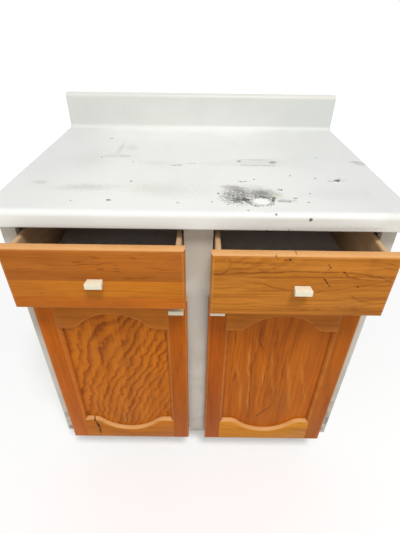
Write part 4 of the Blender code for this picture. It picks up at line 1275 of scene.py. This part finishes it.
class CABINET_OT_drawer_boxes(bpy.types.Operator):
    """Dress the drawer sides, backs and bottoms"""

    bl_idname = "cabinet.drawer_boxes"
    bl_label = "Drawer Boxes"

    def execute(self, context):
        for word in ("left", "right"):
            for part, slot_name, build, ease in (
                ("left_side", "birch", birch, BOX_SIDE_EASE), ("right_side", "birch", birch, BOX_SIDE_EASE),
                ("back", "birch", birch, BOX_BACK_EASE), ("bottom", "hardboard", coated_hardboard, 0.0),
            ):
                dress(f"{word}_drawer_{part}", f"{word}_drawer", slot_name, made_once(build), ease)
        return {"FINISHED"}


class CABINET_OT_runners(bpy.types.Operator):
    """Dress the drawers' steel tracks and nylon guides"""

    bl_idname = "cabinet.runners"
    bl_label = "Runners"

    def execute(self, context):
        for word in ("left", "right"):
            dress(f"{word}_drawer_track", "cabinet", "zinc_steel", made_once(zinc_steel), TRACK_EASE)
            dress(f"{word}_drawer_guide", f"{word}_drawer", "nylon", made_once(nylon), GUIDE_EASE)
        return {"FINISHED"}


class CABINET_OT_doors(bpy.types.Operator):
    """Dress the doors' moulded members and panels"""

    bl_idname = "cabinet.doors"
    bl_label = "Doors"

    def execute(self, context):
        # Each member's heart and lean, the width and contrast of its rings, and its tint
        members = (
            ("left_door_hinge_stile", (-0.44, -0.10), (0.004, 0.02), 0.0060, 0.14, (0.99, 0.73, 0.30)),
            ("left_door_lock_stile", (-0.02, -0.12), (-0.006, 0.02), 0.0062, 0.15, (0.83, 0.62, 0.26)),
            ("left_door_top_rail", (0.66, -0.05), (0.01, 0.04), 0.0060, 0.16, (0.94, 0.88, 0.8)),
            ("left_door_bottom_rail", (0.10, -0.14), (0.04, -0.05), 0.0066, 0.18, (0.97, 0.96, 0.79)),
            ("right_door_hinge_stile", (0.40, -0.10), (0.01, -0.03), 0.0062, 0.15, (0.82, 0.64, 0.28)),
            ("right_door_lock_stile", (0.02, -0.14), (0.005, 0.02), 0.0058, 0.15, (0.79, 0.54, 0.25)),
            ("right_door_top_rail", (0.70, -0.12), (-0.02, 0.05), 0.0062, 0.16, (0.94, 0.9, 0.8)),
            ("right_door_bottom_rail", (0.20, -0.12), (0.03, 0.06), 0.0064, 0.18, (1.24, 1.50, 1.33)),
        )
        for name, heart, lean, ring, contrast, tint in members:
            along, wander = ("X", 0.012) if name.endswith("rail") else ("Z", 0.008)
            flaws = KNOTS if name == "left_door_bottom_rail" else ()
            title = f"Honey oak, {name.replace('_', ' ')}"
            material = oak(title, along, plain_log(heart, lean, wander), ring, contrast, tint, flaws)
            body = "_".join(name.split("_")[:2])
            dress(name, body, "honey_oak", material, sizes().door_ease)
        flame = (flame_group, {"Middle": (-0.21, -0.26, 0.39)})
        left = oak("Oak veneer, left door panel", "Z", flame, 0.0235, 0.62, (1.08, 0.96, 0.48), pores=0.45,
                   bunching=0.6, faintest=0.5)
        log = plain_log((0.215, -0.36), (-0.03, 0.025), 0.030)
        right = oak("Oak veneer, right door panel", "Z", log, 0.017, 0.20, (0.98, 0.79, 0.40), SCRATCHES,
                    RIGHT_PANEL_LINES, RIGHT_PANEL_PALE_LINES, pores=0.5, streaks=0.22)
        dress("left_door_panel", "left_door", "oak_veneer", left, 0.0)
        dress("right_door_panel", "right_door", "oak_veneer", right, 0.0)
        return {"FINISHED"}


class CABINET_OT_knobs(bpy.types.Operator):
    """Model the block knobs, one and its copies"""

    bl_idname = "cabinet.knobs"
    bl_label = "Knobs"

    def execute(self, context):
        low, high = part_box("left_drawer_knob")
        size, middle = high - low, middle_of("left_drawer_knob")
        first = block("left_drawer_block_knob", low, high)
        with editing(first, "FACE"):
            pick_faces(first, lambda centre, normal: normal.y > 0.9)
            bpy.ops.transform.resize(value=(KNOB_FOOT[0] / size.x, 1.0, KNOB_FOOT[1] / size.z))
            cut_through((0.0, middle.y + KNOB_SECTION, 0.0), (0.0, 1.0, 0.0))
        round_edges(first, lambda end: near(end.y, low.y), sizes().knob_edge, 5)
        ease_edges(first, KNOB_EASE, 3)
        plastic = made_once(cream_plastic)
        for body in ("right_drawer", "left_door", "right_door"):
            made = copy_to(first, f"{body}_block_knob", middle_of(f"{body}_knob") - middle)
            finish(made, body, "cream_plastic", plastic, f"{body}_knob")
        finish(first, "left_drawer", "cream_plastic", plastic, "left_drawer_knob")
        return {"FINISHED"}


def pan_head(name, radius):
    """A screw's pan head on the XY plane, with a crossed recess."""
    sides = 16
    top = radius * 0.44
    rounding = radius * 0.34
    rim = radius * 0.16
    recess_depth = radius * 0.28

    def is_recess(face):
        return face.normal.z > 0.99 and len(face.verts) == sides

    piece = rod(name, (0.0, 0.0, top / 2), radius, top, sides)
    round_edges(piece, lambda end: end.z > top / 2, rounding, 4)
    with editing(piece, "FACE"):
        pick_faces(piece, lambda middle, normal: normal.z > 0.99)
        bpy.ops.mesh.inset(thickness=rim)
    with editing(piece, "VERT"):
        pick(piece, "faces", is_recess)
        shape = bmesh.from_edit_mesh(piece.data)
        recess = next(filter(is_recess, shape.faces))
        # Every fourth corner stays where it is, as a tip of the cross, and the rest are drawn in.
        for tip in list(recess.verts)[::4]:
            tip.select_set(False)
        bmesh.update_edit_mesh(piece.data)
        bpy.ops.transform.resize(value=(0.45, 0.45, 1.0), center_override=(0.0, 0.0, top))
        pick(piece, "faces", is_recess)
        extrude(z=-recess_depth)
    close_up(piece)
    return piece


class CABINET_OT_hinges(bpy.types.Operator):
    """Model one hinge and copy it to the other three places"""

    bl_idname = "cabinet.hinges"
    bl_label = "Hinges"

    def execute(self, context):
        bronze = made_once(dark_bronze)
        model = "left_door_upper_hinge"
        head = pan_head("screw_head", sizes().screw_head)
        first = {
            "frame_leaf": self.frame_leaf(model, head), "door_leaf": self.door_leaf(model, head),
            "pin": self.pin(model),
        }
        discard(head)
        # The modelled hinge comes last, because its pieces are copied before they are finished.
        for side, level in (("left", "lower"), ("right", "upper"), ("right", "lower"), ("left", "upper")):
            hinge = f"{side}_door_{level}_hinge"
            move = (0.0, 0.0, middle_of(f"{hinge}_pin").z - middle_of(f"{model}_pin").z)
            for kind, piece in first.items():
                if hinge != model:
                    piece = copy_to(piece, f"{hinge}_{kind}_rolled", move, mirror=side == "right")
                body = f"{side}_door" if kind == "door_leaf" else "cabinet"
                finish(piece, body, "dark_bronze", bronze, f"{hinge}_{kind}")
        return {"FINISHED"}

    def frame_leaf(self, hinge, head):
        """The leaf that wraps round the stile's edge, with its two knuckles and two screws."""
        low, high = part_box(f"{hinge}_frame_leaf")
        door_low, door_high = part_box(f"{hinge}_door_leaf")
        axis, middle = middle_of(f"{hinge}_pin"), middle_of(f"{hinge}_frame_leaf")
        stile_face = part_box("left_stile")[0].y
        plate_rear = stile_face - HINGE_GAP
        plate_front = plate_rear - HINGE_METAL
        plate = block("plate", (axis.x + LEAF_START, plate_front, low.z), (high.x, plate_rear, high.z))
        with editing(plate, "FACE"):
            cut_through((high.x - HINGE_METAL, 0.0, 0.0), (1.0, 0.0, 0.0))
            pick_faces(plate, lambda place, normal: normal.y > 0.9 and place.x > high.x - HINGE_METAL)
            extrude(y=high.y - plate_rear)
        round_edges(plate, lambda end: near(end.x, high.x) and near(end.y, plate_front), LEAF_FOLD, 4)
        ease_edges(plate, LEAF_EASE)
        parts = [plate]
        for start, stop in ((low.z, door_low.z - HINGE_GAP), (door_high.z + HINGE_GAP, high.z)):
            parts.append(self.knuckle(axis, start, stop))
        for z in (middle.z - FRAME_SCREW_REACH, middle.z + FRAME_SCREW_REACH):
            place = (high.x, stile_face + FRAME_SCREW_SETBACK, z)
            parts.append(copy_to(head, "leaf_screw", place, (0.0, math.pi / 2, 0.4)))
        return join(parts, f"{hinge}_frame_leaf_rolled")

    def door_leaf(self, hinge, head):
        """The leaf on the door's back, with its rounded corners, its knuckle and two screws."""
        low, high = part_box(f"{hinge}_door_leaf")
        axis, middle = middle_of(f"{hinge}_pin"), middle_of(f"{hinge}_door_leaf")
        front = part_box("left_door_hinge_stile")[1].y + HINGE_GAP
        rear = front + HINGE_METAL
        leaf = block("leaf", (axis.x + LEAF_START, front, low.z), (high.x, rear, high.z))
        for end_z in (low.z, high.z):
            round_edges(leaf, lambda end: near(end.x, high.x) and near(end.z, end_z), LEAF_CORNER, 6)
        ease_edges(leaf, LEAF_EASE)
        parts = [leaf, self.knuckle(axis, low.z, high.z)]
        for z in (middle.z - DOOR_SCREW_REACH, middle.z + DOOR_SCREW_REACH):
            place = (high.x - DOOR_SCREW_SETBACK, rear, z)
            parts.append(copy_to(head, "leaf_screw", place, FACING_REAR))
        return join(parts, f"{hinge}_door_leaf_rolled")

    def knuckle(self, axis, start, stop):
        piece = rod("knuckle", (axis.x, axis.y, (start + stop) / 2), KNUCKLE_RADIUS, stop - start)
        ease_edges(piece, KNUCKLE_EASE, 3)
        return piece

    def pin(self, hinge):
        """The pin through the knuckles, with a domed head at each end."""
        low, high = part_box(f"{hinge}_frame_leaf")
        axis = middle_of(f"{hinge}_pin")
        piece = rod(f"{hinge}_pin_rolled", axis, PIN_RADIUS, high.z - low.z + 2 * PIN_PAST_LEAF)
        with editing(piece, "FACE"):
            for sign in (1.0, -1.0):
                pick_faces(piece, lambda middle, normal: normal.z * sign > 0.9)
                for rise, factor in PIN_HEAD:
                    extrude(z=sign * rise)
                    bpy.ops.transform.resize(value=(factor, factor, 1.0), center_override=axis)
        close_up(piece)
        return piece


class CABINET_OT_screws(bpy.types.Operator):
    """Model the knobs' screws and the nails of the back panel"""

    bl_idname = "cabinet.screws"
    bl_label = "Screws and Nails"

    def execute(self, context):
        steel = made_once(zinc_steel)
        head = pan_head("screw_head", sizes().screw_head * 1.25)
        for body, carrier in (
            ("left_drawer", "left_drawer_front"), ("right_drawer", "right_drawer_front"),
            ("left_door", "left_door_lock_stile"), ("right_door", "right_door_lock_stile"),
        ):
            middle = middle_of(f"{body}_knob")
            place = (middle.x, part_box(carrier)[1].y, middle.z)
            finish(copy_to(head, f"{body}_knob_screw", place, FACING_REAR), body, "zinc_steel", steel)
        low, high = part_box("back_panel")
        nail = rod("nail", (0.0, 0.0, NAIL_HEIGHT / 2), NAIL_RADIUS, NAIL_HEIGHT, sides=12)
        ease_edges(nail, NAIL_EASE)
        # Eight nails run up each side, five along the top and five across above the toe space.
        bottom, top = low.z + NAIL_MARGIN, high.z - NAIL_MARGIN
        rows = [bottom + (top - bottom) * step / 7 for step in range(8)]
        spots = [(side * NAIL_REACH, z) for side in (-1, 1) for z in rows]
        for step in range(1, 6):
            spots += [(NAIL_REACH * (step / 3 - 1), z) for z in (bottom + NAIL_ROW_RISE, top)]
        nails = [copy_to(nail, "nail", (x, high.y, z), FACING_REAR) for x, z in spots]
        finish(join(nails, "back_nails"), "cabinet", "zinc_steel", steel)
        discard(head, nail)
        return {"FINISHED"}


OPERATORS = (
    CABINET_OT_stage, CABINET_OT_countertop, CABINET_OT_carcass, CABINET_OT_face_frame,
    CABINET_OT_drawer_fronts, CABINET_OT_drawer_boxes, CABINET_OT_runners, CABINET_OT_doors,
    CABINET_OT_knobs, CABINET_OT_hinges, CABINET_OT_screws,
)


class CABINET_PT_pieces(bpy.types.Panel):
    """Sizes, finishes and pieces of the cabinet."""

    bl_idname = "CABINET_PT_pieces"
    bl_label = "Kitchen Cabinet"
    bl_space_type = "VIEW_3D"
    bl_region_type = "UI"
    bl_category = "Cabinet"

    def draw(self, context):
        column = self.layout.column(align=True)
        for operator in OPERATORS:
            column.operator(operator.bl_idname)
        for label, group in (("Sizes", sizes()), ("Finishes", finishes())):
            box = self.layout.box()
            box.label(text=label)
            for key in group.__annotations__:
                box.prop(group, key)


CLASSES = (CabinetSizes, CabinetFinishes, *OPERATORS, CABINET_PT_pieces)


def register():
    for cls in CLASSES:
        bpy.utils.register_class(cls)
    bpy.types.Scene.cabinet_sizes = bpy.props.PointerProperty(type=CabinetSizes)
    bpy.types.Scene.cabinet_finishes = bpy.props.PointerProperty(type=CabinetFinishes)


def unregister():
    del bpy.types.Scene.cabinet_finishes
    del bpy.types.Scene.cabinet_sizes
    for cls in reversed(CLASSES):
        bpy.utils.unregister_class(cls)


def main():
    register()
    bpy.ops.cabinet.stage()
    bpy.ops.cabinet.countertop()
    bpy.ops.cabinet.carcass()
    bpy.ops.cabinet.face_frame()
    bpy.ops.cabinet.drawer_fronts()
    bpy.ops.cabinet.drawer_boxes()
    bpy.ops.cabinet.runners()
    bpy.ops.cabinet.doors()
    bpy.ops.cabinet.knobs()
    bpy.ops.cabinet.hinges()
    bpy.ops.cabinet.screws()
    deselect_all()


if __name__ == "__main__":
    main()
